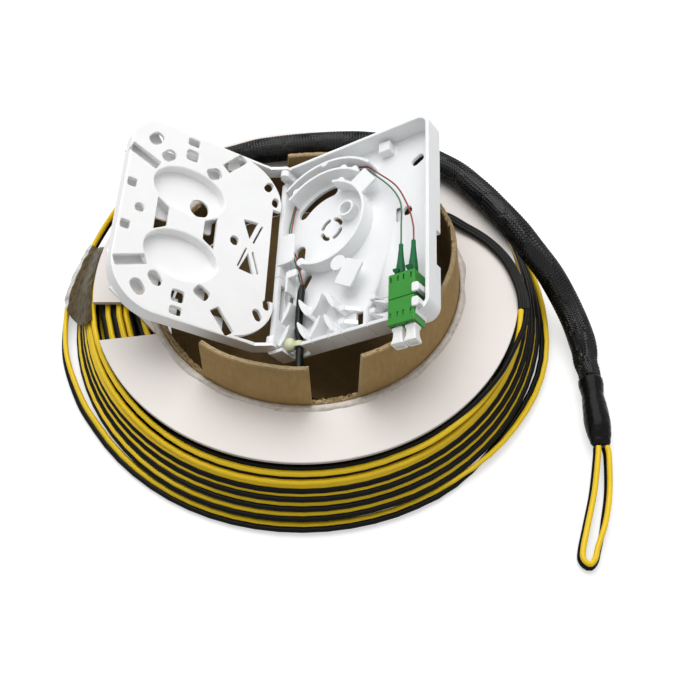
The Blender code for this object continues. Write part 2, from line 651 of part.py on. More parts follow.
def build_base(outlet):
    width = BASE_WIDTH
    height = BASE_HEIGHT
    over = RIM + 0.002
    seat = FLOOR * 0.5
    body = prism(rounded(0.0, 0.0, width, height, (0.002, BASE_CORNER, BASE_CORNER, 0.002)), 0.0, RIM)
    soft = BASE_CORNER - WALL
    room = prism(rounded(WALL, WALL, width - WALL, height - WALL, (0.0, soft, soft, 0.0)), FLOOR, over)
    spine = box(-0.002, WALL + 0.001, WALL, height - WALL, SPINE_WALL, over)
    corner = 0.0105
    inlet = box(0.0085, 0.0185, -0.002, WALL + 0.001, FLOOR + 0.0004, over)
    adapter = box(ADAPTER_U - ADAPTER_WIDTH / 2 - GAP, ADAPTER_U + ADAPTER_WIDTH / 2 + GAP, -0.002, WALL + 0.001,
                  ADAPTER_LIFT - GAP, over)
    grip = box(width - WALL - 0.001, width + 0.002, 0.025, 0.043, -0.002, 0.0042)
    body = cut(body, [room, spine, inlet, adapter, grip])

    # Walls and arcs that guide the fibre.
    u = SPOOL_U
    v = SPOOL_V
    adds = [prism(arc_strip(u, v, SPOOL_RADIUS, ARC_WALL, -118, 78, 30), seat, RIB_TOP),
            prism(arc_strip(u, v, MID_ARC_RADIUS, ARC_WALL, 50, 135, 14), seat, RIB_TOP - 0.0001),
            prism(arc_strip(u, v, OUTER_ARC_RADIUS, ARC_WALL, 47, 131, 14), seat, RIB_TOP - 0.0002)]

    # Small keepers that reach over the fibre channel from the wall tops.
    for angle, radius, turn in ((126, MID_ARC_RADIUS, 1), (92, OUTER_ARC_RADIUS, -1), (70, MID_ARC_RADIUS, 1),
                                (56, MID_ARC_RADIUS, 1), (66, SPOOL_RADIUS, 1)):
        near = radius - ARC_WALL / 2
        x = u + near * math.cos(math.radians(angle))
        y = v + near * math.sin(math.radians(angle))
        half = arc(0.0, 0.0, 0.0021, -90, 90, 5)
        facing = math.radians(angle if turn > 0 else angle + 180)
        c = math.cos(facing)
        s = math.sin(facing)
        outline = [(x + p * c - q * s, y + p * s + q * c) for p, q in half]
        adds.append(prism(outline, RIB_TOP - 0.0013, RIB_TOP - 0.0003))

    # Wide shelves over the channel: lower right, upper right and on the spine.
    for angle, near, far, wide in ((-61, SPOOL_RADIUS - 0.001, SPOOL_RADIUS + 0.0125, 0.0105),
                                   (36, SPOOL_RADIUS - 0.001, SPOOL_RADIUS + 0.0085, 0.0110)):
        middle = (near + far) / 2
        x = u + middle * math.cos(math.radians(angle))
        y = v + middle * math.sin(math.radians(angle))
        adds.append(prism(turned_box(x, y, far - near, wide, angle), RIB_TOP - 0.0016, RIB_TOP - 0.0004))
    block = v - 0.0165
    adds.append(box(0.0, 0.0016, block, block + 0.0165, seat, RIB_TOP - 0.0005))
    adds.append(prism(rounded(0.0005, block, 0.0090, block + 0.0165, (0, 0.002, 0.002, 0)),
                      RIB_TOP - 0.0018, RIB_TOP - 0.0005))
    adds.append(prism(circle(0.0136, 0.0466, 0.0021, 10), seat, RIB_TOP - 0.0006))
    adds.append(prism(circle(u + 0.0105, v + 0.006, 0.0038, 14), seat, 0.0068))

    # Barbs in two rows grip the cable; a second pair beside it is free.
    for row in (0.0139, 0.0257):
        for tip, heel in ((0.0096, 0.0052), (0.0143, 0.0193), (0.0266, 0.0217), (0.0289, 0.0339)):
            adds.append(prism(leaf(tip, row, heel, row - 0.0096, 0.0023), seat, RIB_TOP - 0.0008))

    # Adapter cradle with its two clips, comb beside it, latch block at the top and a hook at the right.
    left = ADAPTER_U - ADAPTER_WIDTH / 2
    right = ADAPTER_U + ADAPTER_WIDTH / 2
    for at in (0.0050, 0.0175):
        adds.append(box(left + 0.0005, right - 0.0005, at, at + 0.0016, seat, ADAPTER_LIFT - GAP))
    for at in (0.0029, 0.0099):
        adds.append(box(right + GAP, right + 0.0026, at, at + 0.0030, seat, 0.0128))
    adds.append(box(left - 0.0022, left - GAP, 0.0060, 0.0165, seat, 0.0075))
    for at in (0.0062, 0.0092, 0.0122, 0.0152):
        adds.append(box(left - 0.0125, left - 0.0030, at, at + 0.0012, seat, 0.0058))
    adds.append(box(left - 0.0131, left - 0.0119, 0.0050, 0.0175, seat, 0.0066))
    adds.append(box(0.0535, 0.0595, height - 0.0090, height - 0.0035, seat, 0.0066))
    adds.append(box(0.0590, 0.0605, SPOOL_V - 0.0075, SPOOL_V - 0.0010, seat, 0.0080))
    adds.append(box(0.0591, 0.0632, SPOOL_V - 0.0070, SPOOL_V - 0.0015, 0.0068, 0.0079))

    # Posts that carry the tray's pins.
    for low in (BASE_HEIGHT - 0.0074, 0.0040):
        adds.append(box(0.0002, HINGE_U + 0.0028, low, low + 0.0034, seat, HINGE_N))
        adds.append(prism(circle(HINGE_U, HINGE_N, 0.0028, 16), low, low + 0.0034, "Y"))
    body = fuse(body, adds)

    # Openings through the floor, screw slot, boss bore, break-out outlines and pin holes.
    below = -0.002
    above = FLOOR + 0.0004
    cuts = [prism(arc_strip(u, v, 0.0256, 0.0042, 91, 139, 10), below, above)]
    for start in (10, 100, 190, 280):
        cuts.append(prism(arc_strip(u - 0.0005, v + 0.0008, 0.0061, 0.0013, start, start + 64, 6), below, above))
    cuts.append(prism(slot(0.0064, v - 0.0085, 0.0130, 0.0050, 84), below, above))
    cuts.append(prism(slot(0.0105, 0.0395, 0.0070, 0.0026, 60), below, above))
    cuts.append(prism(slot(0.0040, 0.0310, 0.0150, 0.0018, 90), below, above))
    cuts.append(prism(slot(width - 0.0107, height - 0.0168, 0.0092, 0.0042, 30, 6), below, above))
    cuts.append(prism(circle(width - 0.0130, SPOOL_V - 0.0077, 0.0024, 12), below, above))
    cuts.append(box(0.0410, 0.0447, 0.0077, 0.0147, below, above))
    cuts.append(prism(circle(u + 0.0105, v + 0.006, 0.0024, 12), FLOOR, 0.0080))
    for start in (0.0230, 0.0375):
        cuts.append(box(start, start + 0.0006, -0.001, 0.0005, 0.0026, RIM - 0.0022))
        cuts.append(box(start + 0.0100, start + 0.0106, -0.001, 0.0005, 0.0026, RIM - 0.0022))
    for low in (BASE_HEIGHT - 0.0084, 0.0030):
        cuts.append(prism(circle(HINGE_U, HINGE_N, PIN_RADIUS + GAP, 14), low, low + 0.0054, "Y"))
    body = cut(body, cuts)
    publish("outlet_base", body, WHITE, 0.38, outlet)


def tray_half_width():
    return BASE_HEIGHT / 2 - WALL - GAP


def build_tray(outlet):
    """Drawn shut, with its origin on the hinge axis; u is measured from the base's left side."""
    hinge = bpy.data.objects.new("tray_hinge", None)
    bpy.context.collection.objects.link(hinge)
    hinge.parent = outlet
    hinge.location = (HINGE_U, BASE_HEIGHT / 2, HINGE_N)
    hinge.rotation_euler = (0.0, math.radians(-TRAY_OPEN_DEG), 0.0)

    half = tray_half_width()
    base = TRAY_LIFT
    back = TRAY_LIFT + TRAY_DEPTH
    plate_top = base + TRAY_PLATE
    far = TRAY_LENGTH - HINGE_U
    inset = TRAY_WALL

    def at(u):
        return u - HINGE_U

    plate = prism(rounded(at(0.007), -half + inset / 2, far - inset / 2, half - inset / 2,
                          (0.020, 0.0235, 0.0235, 0.020), 8), base, plate_top)
    adds = []
    for side in (-1, 1):
        y0 = min(side * 0.0255, side * 0.0360)
        adds.append(prism(rounded(at(0.0026), y0, at(0.016), y0 + 0.0105, (0.004, 0, 0, 0.004)),
                          base + 0.00005, plate_top - 0.00005))
    outer = rounded(at(0.010), -half, far, half, (0.0, 0.0245, 0.0245, 0.0), 8)
    inner = rounded(at(0.004), -half + inset, far - inset, half - inset, (0.0, 0.0230, 0.0230, 0.0), 8)
    rim = cut(prism(outer, base + 0.0001, back), [prism(inner, base - 0.002, back + 0.002)])
    adds.append(rim)

    # Arms run from the rim to the pins.
    for side in (-1, 1):
        shape = arc(0.0, 0.0, KNUCKLE_RADIUS, 180, 330, 8)
        shape += [(0.0070, base + 0.0002), (0.0100, base + 0.0002), (0.0100, back - 0.0003),
                  (0.0050, back - 0.0003), (-KNUCKLE_RADIUS, 0.0030)]
        y0 = half - inset if side > 0 else -half
        adds.append(prism(shape, y0 + 0.00002, y0 + inset - 0.00002, "Y"))
        reach = 0.0028
        pin = (half - inset - reach, half - inset + 0.0004) if side > 0 else (-half + inset - 0.0004, -half + inset + reach)
        adds.append(prism(circle(0.0, 0.0, PIN_RADIUS, 12), pin[0], pin[1], "Y"))

    # Winding mandrels stand on the far face; their hollow sides show on this one.
    spread = MANDREL_RADIUS + 0.0011
    for side in (-1, 1):
        adds.append(prism(circle(at(0.0477), side * spread, MANDREL_RADIUS + 0.0013, 40),
                          base + 0.0004, base + MANDREL_DEPTH + 0.0012))

    # Keepers inside the rim, over the outer holes.
    side_place = half - 0.0037
    for u, y, long, wide, angle in ((TRAY_LENGTH - 0.0118, half - 0.0086, 0.0110, 0.0050, 56),
                                    (0.0480, side_place, 0.0060, 0.0056, 90),
                                    (TRAY_LENGTH - 0.0030, 0.0113, 0.0050, 0.0056, 0),
                                    (0.0260, side_place - 0.0002, 0.0060, 0.0056, 90)):
        for side in (-1, 1):
            adds.append(prism(turned_box(at(u), side * y, long, wide, side * angle), back - 0.0016, back - 0.0004))
    body = fuse(plate, adds)

    below = base - 0.001
    above = plate_top + 0.0004
    cuts = []
    for side in (-1, 1):
        cuts.append(prism(circle(at(0.0477), side * spread, MANDREL_RADIUS, 40), below, base + MANDREL_DEPTH))
        holes = [slot(at(TRAY_LENGTH - 0.0142), side * (half - 0.0111), 0.0068, 0.0046, side * 128),
                 slot(at(0.0585), side * 0.0328, 0.0062, 0.0040, side * 122),
                 rounded(at(0.0452), side * (half - 0.0094) - 0.0025, at(0.0508), side * (half - 0.0094) + 0.0025, (0.001,) * 4, 2),
                 turned_box(at(0.0270), side * (half - 0.0084), 0.0128, 0.0050, side * -52),
                 slot(at(0.0362), side * 0.0338, 0.0060, 0.0040, side * -118),
                 slot(at(0.0100), side * 0.0365, 0.0042, 0.0028, side * -60),
                 slot(at(0.0060), side * 0.0296, 0.0038, 0.0026, side * -80),
                 rounded(at(TRAY_LENGTH - 0.0073), side * 0.0108 - 0.0021, at(TRAY_LENGTH - 0.0030), side * 0.0108 + 0.0021,
                         (0.001,) * 4, 2),
                 turned_box(at(0.0700), side * 0.0280, 0.0118, 0.0046, side * 22),
                 [(at(0.0627), side * 0.0016), (at(0.0627), side * 0.0087), (at(0.0567), side * 0.0049),
                  (at(0.0567), side * 0.0016)],
                 [(at(0.0332), side * 0.0016), (at(0.0332), side * 0.0087), (at(0.0392), side * 0.0049),
                  (at(0.0392), side * 0.0016)],
                 [(at(0.0200), side * 0.0138), (at(0.0124), side * 0.0138), (at(0.0160), side * 0.0034)],
                 turned_box(at(0.0121), side * 0.0082, 0.0118, 0.0009, side * 110)]
        cuts += [prism(hole, below, above) for hole in holes]
    for hole in (slot(at(0.0690), 0.0, 0.0050, 0.0042, 90), slot(at(0.0245), 0.0, 0.0048, 0.0040, 90)):
        cuts.append(prism(hole, below, above))
    for first in (0.0567, 0.0332):
        cuts.append(box(at(first), at(first + 0.0060), -0.0018, 0.0018, below, above))
    cuts.append(prism(circle(at(0.0424), spread - 0.0068, 0.0046, 18), below, back + 0.001))
    body = cut(body, cuts)
    publish("splice_tray", body, WHITE, 0.38, hinge)


def build_adapter(outlet):
    left = ADAPTER_U - ADAPTER_WIDTH / 2
    right = ADAPTER_U + ADAPTER_WIDTH / 2
    low = ADAPTER_LIFT
    high = ADAPTER_LIFT + ADAPTER_HEIGHT
    start = -ADAPTER_OUT
    end = ADAPTER_END
    middle = (start + end) / 2
    web = 0.0028
    halves = (("adapter_front", start, middle - GAP / 2, start - 0.001, middle - GAP / 2 - web),
              ("adapter_rear", middle + GAP / 2, end, middle + GAP / 2 + web, end + 0.001))
    for name, near, far, hole_near, hole_far in halves:
        body = prism(rounded(left, low, right, high, (0.0004,) * 4, 2), near, far, "Y")
        cuts = []
        for port in PORTS:
            half = PORT_WIDTH / 2
            cuts.append(box(port - half, port + half, hole_near, hole_far,
                            PORT_N - PORT_HEIGHT / 2, PORT_N + PORT_HEIGHT / 2))
            cuts.append(box(port - 0.0011, port + 0.0011, hole_near, hole_far, PORT_N, PORT_N + 0.0037))
            cuts.append(prism(circle(port, PORT_N, 0.0014, 12), near - 0.001, far + 0.001, "Y"))
        face = near if name == "adapter_front" else far
        inward = 0.0044 if name == "adapter_front" else -0.0026
        for part in (0.106, 0.375, 0.587, 0.864):
            u = left + ADAPTER_WIDTH * part
            v = face + inward
            cuts.append(box(u - 0.0003, u + 0.0003, v - 0.0012, v + 0.0012, high - 0.00035, high + 0.001))
        publish(name, cut(body, cuts), GREEN, 0.42, outlet)

    sleeve = (0.00080, 0.00110)
    for i, port in enumerate(PORTS):
        number = str(i + 1)
        ring_out = circle(port, PORT_N, sleeve[1], 14)
        ring_in = circle(port, PORT_N, sleeve[0], 14)
        ring = prism(ring_out, middle - web, middle + web, "Y")
        ring = cut(ring, [prism(ring_in, middle - web - 0.001, middle + web + 0.001, "Y")])
        publish("alignment_sleeve_" + number, ring, WHITE, 0.2, outlet)

        front = middle + web + 2 * GAP
        publish("ferrule_" + number, prism(circle(port, PORT_N, 0.00062, 12), middle, front - GAP, "Y"),
                (0.85, 0.85, 0.84), 0.15, outlet)

        half = PORT_WIDTH / 2 - GAP
        tall = PORT_HEIGHT / 2 - GAP
        body = prism(rounded(port - half, PORT_N - tall, port + half, PORT_N + tall, (0.0004,) * 4, 2),
                     front, BOOT_START - GAP, "Y")
        key = box(port - 0.0008, port + 0.0008, front + 0.0015, end + 0.0004, PORT_N, PORT_N + 0.0032)
        lever = lofted([[(port - 0.0008, end - 0.0004, PORT_N + 0.0021), (port + 0.0008, end - 0.0004, PORT_N + 0.0021),
                         (port + 0.0008, end - 0.0004, PORT_N + 0.0031), (port - 0.0008, end - 0.0004, PORT_N + 0.0031)],
                        [(port - 0.0016, end + 0.0032, PORT_N + 0.0032), (port + 0.0016, end + 0.0032, PORT_N + 0.0032),
                         (port + 0.0016, end + 0.0032, PORT_N + 0.0042), (port - 0.0016, end + 0.0032, PORT_N + 0.0042)]])
        publish("connector_" + number, fuse(body, [key, lever]), DARK_GREEN, 0.4, outlet)

        sections = []
        for part, size in ((0.0, 0.0021), (0.14, 0.0021), (0.30, 0.0019), (0.50, 0.0015), (0.70, 0.0012),
                           (0.86, 0.0010), (1.0, 0.00095)):
            v = BOOT_START + BOOT_LENGTH * part
            sections.append([(a, v, b) for a, b in circle(port, PORT_N, size, 12)])
        publish("boot_" + number, lofted(sections), DARK_GREEN, 0.55, outlet)

        # Dust plug; its origin is at the mouth of the port, on the line it slides along.
        slide = bpy.data.objects.new("plug_slide_" + number, None)
        bpy.context.collection.objects.link(slide)
        slide.parent = outlet
        slide.location = (port, start, PORT_N)
        shank = PORT_WIDTH / 2 - GAP - 0.0001
        sections = []
        for v, wide, tall in ((0.0082, 0.0016, 0.0016), (0.0076, shank, shank), (-0.0010, shank, shank)):
            sections.append([(a, v, b) for a, b in rounded(-wide, -tall, wide, tall, (0.0004,) * 4, 2)])
        stem = lofted(sections)
        sections = []
        for v, wide, tall in ((-GAP, 0.0026, 0.0026), (-0.0016, 0.0026, 0.0026), (-0.0022, 0.0023, 0.0022),
                              (-0.0052, 0.0024, 0.0023), (-0.0074, 0.0029, 0.0028), (-0.0082, 0.0028, 0.0027)):
            sections.append([(a, v, b) for a, b in rounded(-wide, -tall, wide, tall, (0.0005,) * 4, 2)])
        head = lofted(sections)
        publish("dust_plug_" + number, fuse(stem, [head]), WHITE, 0.35, slide)


def build_inlet(outlet):
    """Black sleeve over the cable inside the base, the tie that holds it and the two fibres."""
    n = INLET_N
    route = [(0.0139, -0.0085, n), (0.0137, 0.0000, n), (0.0134, 0.0060, n), (0.0122, 0.0120, n),
             (0.0120, 0.0190, n), (0.0120, 0.0260, n), (0.0122, 0.0320, n), (0.0124, 0.0362, n)]
    points = smooth(route, 0.0050)
    scales = [1.0] * len(points)
    scales[-1] = 0.72
    tube("inlet_sleeve", points, INLET_DIAMETER, BLACK, 0.4, outlet, scales, 2)

    at = WALL + 0.0010
    centre = 0.0136
    inner = INLET_DIAMETER / 2 + GAP
    band = prism(circle(centre, n, inner + 0.0009, 20), at, at + 0.0026, "Y")
    head = box(centre - inner - 0.0036, centre - inner - 0.0001, at - 0.0003, at + 0.0032, n + 0.0002, n + 0.0040)
    band = fuse(band, [head])
    band = cut(band, [prism(circle(centre, n, inner, 20), at - 0.002, at + 0.006, "Y")])
    publish("cable_tie", band, NATURAL, 0.45, outlet)

    u = SPOOL_U
    v = SPOOL_V
    lane = (MID_ARC_RADIUS + OUTER_ARC_RADIUS - ARC_WALL) / 2
    for name, colour, shift, port, lag in (("fibre_green", (0.03, 0.36, 0.10), -0.0009, PORTS[0], 0.0),
                                           ("fibre_red", RED, 0.0009, PORTS[1], 0.0030)):
        radius = lane + shift
        begin = 0.0362 + GAP + 0.0003
        route = [(0.0124 - shift * 0.6, begin, n), (0.0108 - shift * 0.8, begin + 0.0035, n - 0.0004),
                 (0.0066 - shift, begin + 0.0100, n - 0.0012), (0.0054 - shift, begin + 0.0200, 0.0042),
                 (0.0046 - shift, begin + 0.0320, 0.0046), (0.0044 - shift, v + 0.0125, 0.0054)]
        for angle in (140, 130, 116, 102, 88, 74, 60, 49):
            # The lane opens towards the spine, where the fibre leaves it.
            free = 1.0 - 0.045 * ramp(angle, 126, 142)
            a = math.radians(angle)
            route.append((u + radius * free * math.cos(a), v + radius * free * math.sin(a), 0.0058))
        lift = PORT_N - 0.0058
        route += [(u + 0.0268 + shift, v + 0.0175 + shift, 0.0062),
                  (port - 0.0069 - lag * 1.2, v + 0.0070, 0.0058 + lift * 0.35),
                  (port - 0.0010 - lag * 0.8, v - 0.0050 - lag, 0.0058 + lift * 0.75),
                  (port - 0.0002 - lag * 0.1, BOOT_END + 0.009, PORT_N - 0.0002),
                  (port, BOOT_END + 0.004, PORT_N), (port, BOOT_END + GAP, PORT_N)]
        tube(name, smooth(route, 0.0046), FIBRE_DIAMETER, colour, 0.4, outlet)


def main():
    clear_scene()
    outlet = bpy.data.objects.new("outlet", None)
    bpy.context.collection.objects.link(outlet)
    outlet.matrix_world = OUTLET
    build_reel()
    last, foot = build_coil()
    build_lead()
    build_tail(last, foot)
    build_base(outlet)
    build_tray(outlet)
    build_adapter(outlet)
    build_inlet(outlet)


main()
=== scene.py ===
"""Opened fibre outlet lying on the board reel that holds its cable.

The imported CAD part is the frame: every piece here is drawn in the same metres and
axes, rides on one of its bodies and stands for one or more of its nodes.
"""

import math

import bmesh
import bpy
from bpy.props import FloatProperty, FloatVectorProperty, IntProperty, PointerProperty
from mathutils import Euler, Matrix, Vector, noise


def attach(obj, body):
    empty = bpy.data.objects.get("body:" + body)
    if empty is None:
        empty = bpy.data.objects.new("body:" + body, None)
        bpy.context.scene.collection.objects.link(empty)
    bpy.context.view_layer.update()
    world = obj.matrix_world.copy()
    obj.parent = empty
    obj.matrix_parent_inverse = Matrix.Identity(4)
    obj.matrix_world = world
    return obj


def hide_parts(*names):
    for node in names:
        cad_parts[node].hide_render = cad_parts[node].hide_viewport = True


bl_info = {
    "name": "Fibre outlet on a cable reel",
    "version": (1, 0, 0),
    "blender": (4, 5, 0),
    "location": "3D View > Sidebar > Outlet",
    "description": "Builds an opened fibre outlet, its board reel, the wound cable and the pulling sleeve",
    "category": "Object",
}

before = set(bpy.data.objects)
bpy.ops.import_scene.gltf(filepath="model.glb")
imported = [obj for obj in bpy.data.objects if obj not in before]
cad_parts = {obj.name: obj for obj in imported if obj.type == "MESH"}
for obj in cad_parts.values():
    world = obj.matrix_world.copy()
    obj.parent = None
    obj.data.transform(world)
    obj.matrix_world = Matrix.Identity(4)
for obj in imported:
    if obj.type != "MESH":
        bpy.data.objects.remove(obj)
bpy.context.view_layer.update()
ROOT = "outlet_and_reel"


def length(name, description, default):
    return FloatProperty(name=name, description=description, default=default, min=0.0, precision=5,
                         unit='LENGTH')


def colour(name, description, default):
    return FloatVectorProperty(name=name, description=description, default=default, size=3, min=0.0,
                               max=1.0, subtype='COLOR')


class CableSettings(bpy.types.PropertyGroup):
    rib: length("Rib diameter", "Diameter of one rib of the twin cable", 0.00242)
    spacing: length("Rib spacing", "Distance between the middles of the two ribs", 0.0026)
    pitch: length("Winding pitch", "Height that each turn of the hidden winding takes", 0.00255)
    layer: length("Layer step", "Distance from one layer of the hidden winding to the next", 0.0051)
    yellow: colour("Yellow jacket", "Colour of the yellow rib", (0.90, 0.615, 0.008))
    black: colour("Black jacket", "Colour of the black rib", (0.0034, 0.0032, 0.0030))


class ReelSettings(bpy.types.PropertyGroup):
    radius: length("Flange radius", "Outer radius of both flanges", 0.100)
    thickness: length("Flange thickness", "Thickness of the flange board", 0.0018)
    height: length("Reel height", "Height of the upper flange's top", 0.030)
    core: length("Core radius", "Outer radius of the core", 0.072)
    wall: length("Core wall", "Thickness of the core's board", 0.0025)
    white: colour("Board face", "Colour of the coated face", (0.84, 0.79, 0.755))
    glue: colour("Glue", "Colour of the dried glue round the core", (0.55, 0.50, 0.44))
    raw: colour("Board edge", "Colour of the cut edge of the flange", (0.60, 0.55, 0.49))
    kraft: colour("Kraft liner", "Colour of the brown core", (0.41, 0.268, 0.106))
    torn: colour("Torn edge", "Colour of the torn and cut edges of the core", (0.50, 0.37, 0.20))


class OutletSettings(bpy.types.PropertyGroup):
    width: length("Base width", "Size of the base across", 0.083)
    height: length("Base height", "Size of the base up the wall", 0.105)
    rim: length("Rim height", "Height of the base's walls", 0.011)
    wall: length("Wall", "Thickness of the base's walls", 0.0018)
    floor: length("Floor", "Thickness of the base's floor", 0.0016)
    easing: length("Edge rounding", "Radius on the moulded edges", 0.00032)
    white: colour("Base plastic", "Colour of the moulded base", (0.88, 0.89, 0.90))
    tray: colour("Tray plastic", "Colour of the moulded tray", (0.91, 0.91, 0.91))
    tie: colour("Cable tie", "Colour of the nylon tie", (0.66, 0.68, 0.45))
    red: colour("Red fibre", "Colour of the red fibre's buffer", (0.27, 0.028, 0.032))
    green: colour("Green fibre", "Colour of the green fibre's buffer", (0.03, 0.16, 0.075))


class AdapterSettings(bpy.types.PropertyGroup):
    width: length("Adapter width", "Size of the adapter across", 0.0128)
    height: length("Adapter height", "Size of the adapter out of the wall", 0.0093)
    green: colour("Adapter plastic", "Colour of the adapter", (0.034, 0.265, 0.030))
    dark: colour("Boot rubber", "Colour of the boots and connector bodies", (0.006, 0.115, 0.034))
    plug: colour("Dust plugs", "Colour of the dust plugs", (0.83, 0.835, 0.81))


class SleeveSettings(bpy.types.PropertyGroup):
    diameter: length("Sleeve diameter", "Outer diameter of the braided sleeve", 0.0126)
    strands: IntProperty(name="Strands", description="Strands of the braid each way round", default=22,
                         min=6, max=40)
    strand: length("Strand width", "Width of one strand of the braid", 0.00110)
    lay: length("Braid lay", "Length in which a strand goes once round", 0.033)
    braid: colour("Braid", "Colour of the braid's yarn", (0.004, 0.0042, 0.0045))
    shrink: colour("Heat-shrink", "Colour of the heat-shrink tube", (0.0045, 0.0045, 0.005))


class StageSettings(bpy.types.PropertyGroup):
    lens: FloatProperty(name="Lens", description="Focal length of the camera in millimetres", default=52.94,
                        min=10.0)
    down: FloatProperty(name="View down", description="Angle at which the camera looks down",
                        default=math.radians(53.9), subtype='ANGLE')
    floor: colour("Floor", "Colour of the floor", (0.64, 0.64, 0.64))
    key: FloatProperty(name="Key lamp", description="Power of the large lamp above", default=11.6,
                       min=0.0, unit='POWER')
    glow: FloatProperty(name="Floor glow", description="Light that the floor adds of its own to look white",
                        default=0.52, min=0.0)
    sky: FloatProperty(name="Sky", description="Strength of the even light from all round", default=0.36,
                       min=0.0)


SETTINGS = (("cable_look", CableSettings), ("reel_look", ReelSettings), ("outlet_look", OutletSettings),
            ("adapter_look", AdapterSettings), ("sleeve_look", SleeveSettings), ("stage_look", StageSettings))


# Lines and outlines

def polar(radius, angle_deg, height):
    angle = math.radians(angle_deg)
    return Vector((radius * math.cos(angle), radius * math.sin(angle), height))


def ease(value, start, end):
    part = min(1.0, max(0.0, (value - start) / (end - start)))
    return part * part * (3 - 2 * part)


# Points between two given ones, before they are spaced evenly
FINE_STEPS = 20


def smooth(points, spacing):
    """Evenly spaced points on a smooth curve through the given ones."""
    points = [Vector(p) for p in points]
    ends = [points[0] * 2 - points[1]] + points + [points[-1] * 2 - points[-2]]
    fine = []
    for i in range(len(points) - 1):
        a, b, c, d = ends[i:i + 4]
        for k in range(FINE_STEPS):
            t = k / FINE_STEPS
            fine.append(0.5 * (2 * b + (c - a) * t + (2 * a - 5 * b + 4 * c - d) * t * t
                               + (3 * b - a - 3 * c + d) * t * t * t))
    fine.append(points[-1])
    return even(fine, spacing)


def even(fine, spacing):
    """Points along a line at equal steps, as near to the spacing as its length allows."""
    total = line_length(fine)
    count = max(2, round(total / spacing))
    points = [fine[0]]
    run = 0.0
    want = total / count
    for p, q in zip(fine, fine[1:]):
        step = (q - p).length
        while step > 0 and run + step >= want - 1e-9 and len(points) < count:
            points.append(p.lerp(q, (want - run) / step))
            want += total / count
        run += step
    points.append(fine[-1])
    return points


def line_length(points):
    return sum((q - p).length for p, q in zip(points, points[1:]))


def arc(x, y, radius, start_deg, end_deg, steps):
    points = []
    for i in range(steps + 1):
        angle = math.radians(start_deg + (end_deg - start_deg) * i / steps)
        points.append((x + radius * math.cos(angle), y + radius * math.sin(angle)))
    return points


def circle(x, y, radius, steps):
    return arc(x, y, radius, 0.0, 360.0, steps)[:-1]


def oval(x, y, long, wide, steps):
    return [(x + long * p, y + wide * q) for p, q in circle(0.0, 0.0, 1.0, steps)]


def rounded(x0, y0, x1, y1, radii, steps=5):
    """Rectangle with its own radius at each corner: low left, low right, top right, top left."""
    places = ((x0, y0, 1, 1, 180), (x1, y0, -1, 1, 270), (x1, y1, -1, -1, 0), (x0, y1, 1, -1, 90))
    points = []
    for (x, y, sx, sy, start), radius in zip(places, radii):
        if radius <= 0.0:
            points.append((x, y))
        else:
            points += arc(x + sx * radius, y + sy * radius, radius, start, start + 90, steps)
    return points


def oblong(x0, y0, x1, y1, radius=0.0003):
    return rounded(x0, y0, x1, y1, (radius,) * 4, 3)


def moved(outline, x, y, angle_deg):
    c = math.cos(math.radians(angle_deg))
    s = math.sin(math.radians(angle_deg))
    return [(x + p * c - q * s, y + p * s + q * c) for p, q in outline]


def turned_box(x, y, long, wide, angle_deg, radius=0.0003):
    return moved(oblong(-long / 2, -wide / 2, long / 2, wide / 2, radius), x, y, angle_deg)


def slot(x, y, long, wide, angle_deg, steps=8):
    half = (long - wide) / 2
    ends = arc(half, 0.0, wide / 2, -90, 90, steps) + arc(-half, 0.0, wide / 2, 90, 270, steps)
    return moved(ends, x, y, angle_deg)


def arc_strip(x, y, radius, thickness, start_deg, end_deg, steps):
    """Curved wall with round ends."""
    middle = radius - thickness / 2
    points = arc(x, y, radius, start_deg, end_deg, steps)
    for end_at, turn in ((end_deg, 0), (start_deg, 180)):
        a = math.radians(end_at)
        points += arc(x + middle * math.cos(a), y + middle * math.sin(a), thickness / 2,
                      end_at + turn, end_at + turn + 180, 6)[1:-1]
        if turn == 0:
            points += arc(x, y, radius - thickness, end_deg, start_deg, steps)
    return points


def leaf(x0, y0, x1, y1, wide):
    """Pointed oval from one point to another."""
    long = math.hypot(x1 - x0, y1 - y0)
    last = 14
    side = []
    for i in range(last + 1):
        t = i / last
        side.append((long * t, wide * (0.13 + 0.37 * math.sin(math.pi * t ** 0.93) ** 0.8)))
    outline = [(a, -b) for a, b in side] + side[::-1]
    return moved(outline, x0, y0, math.degrees(math.atan2(y1 - y0, x1 - x0)))


def corners(points, radius, steps=3):
    """Polygon with its corners rounded."""
    result = []
    for i, point in enumerate(points):
        p = Vector(point)
        before = Vector(points[i - 1]) - p
        after = Vector(points[(i + 1) % len(points)]) - p
        cut = min(radius, before.length * 0.45, after.length * 0.45)
        a = p + before.normalized() * cut
        b = p + after.normalized() * cut
        for k in range(steps + 1):
            t = k / steps
            result.append(tuple(a * (1 - t) ** 2 + p * 2 * t * (1 - t) + b * t * t))
    return result


def drawn_in(outline, amount):
    """The same outline, closer in by an amount on every side."""
    area = sum(p[0] * q[1] - q[0] * p[1] for p, q in zip(outline, outline[1:] + outline[:1]))
    sign = 1.0 if area > 0 else -1.0
    result = []
    for i, point in enumerate(outline):
        p = Vector(point)
        first = (p - Vector(outline[i - 1])).normalized()
        second = (Vector(outline[(i + 1) % len(outline)]) - p).normalized()
        a = Vector((-first.y, first.x)) * sign
        b = Vector((-second.y, second.x)) * sign
        result.append(tuple(p + (a + b) * (amount / max(0.5, 1.0 + a.dot(b)))))
    return result


# Solids

def closed(mesh):
    bmesh.ops.recalc_face_normals(mesh, faces=mesh.faces[:])
    data = bpy.data.meshes.new("solid")
    mesh.to_mesh(data)
    mesh.free()
    return data


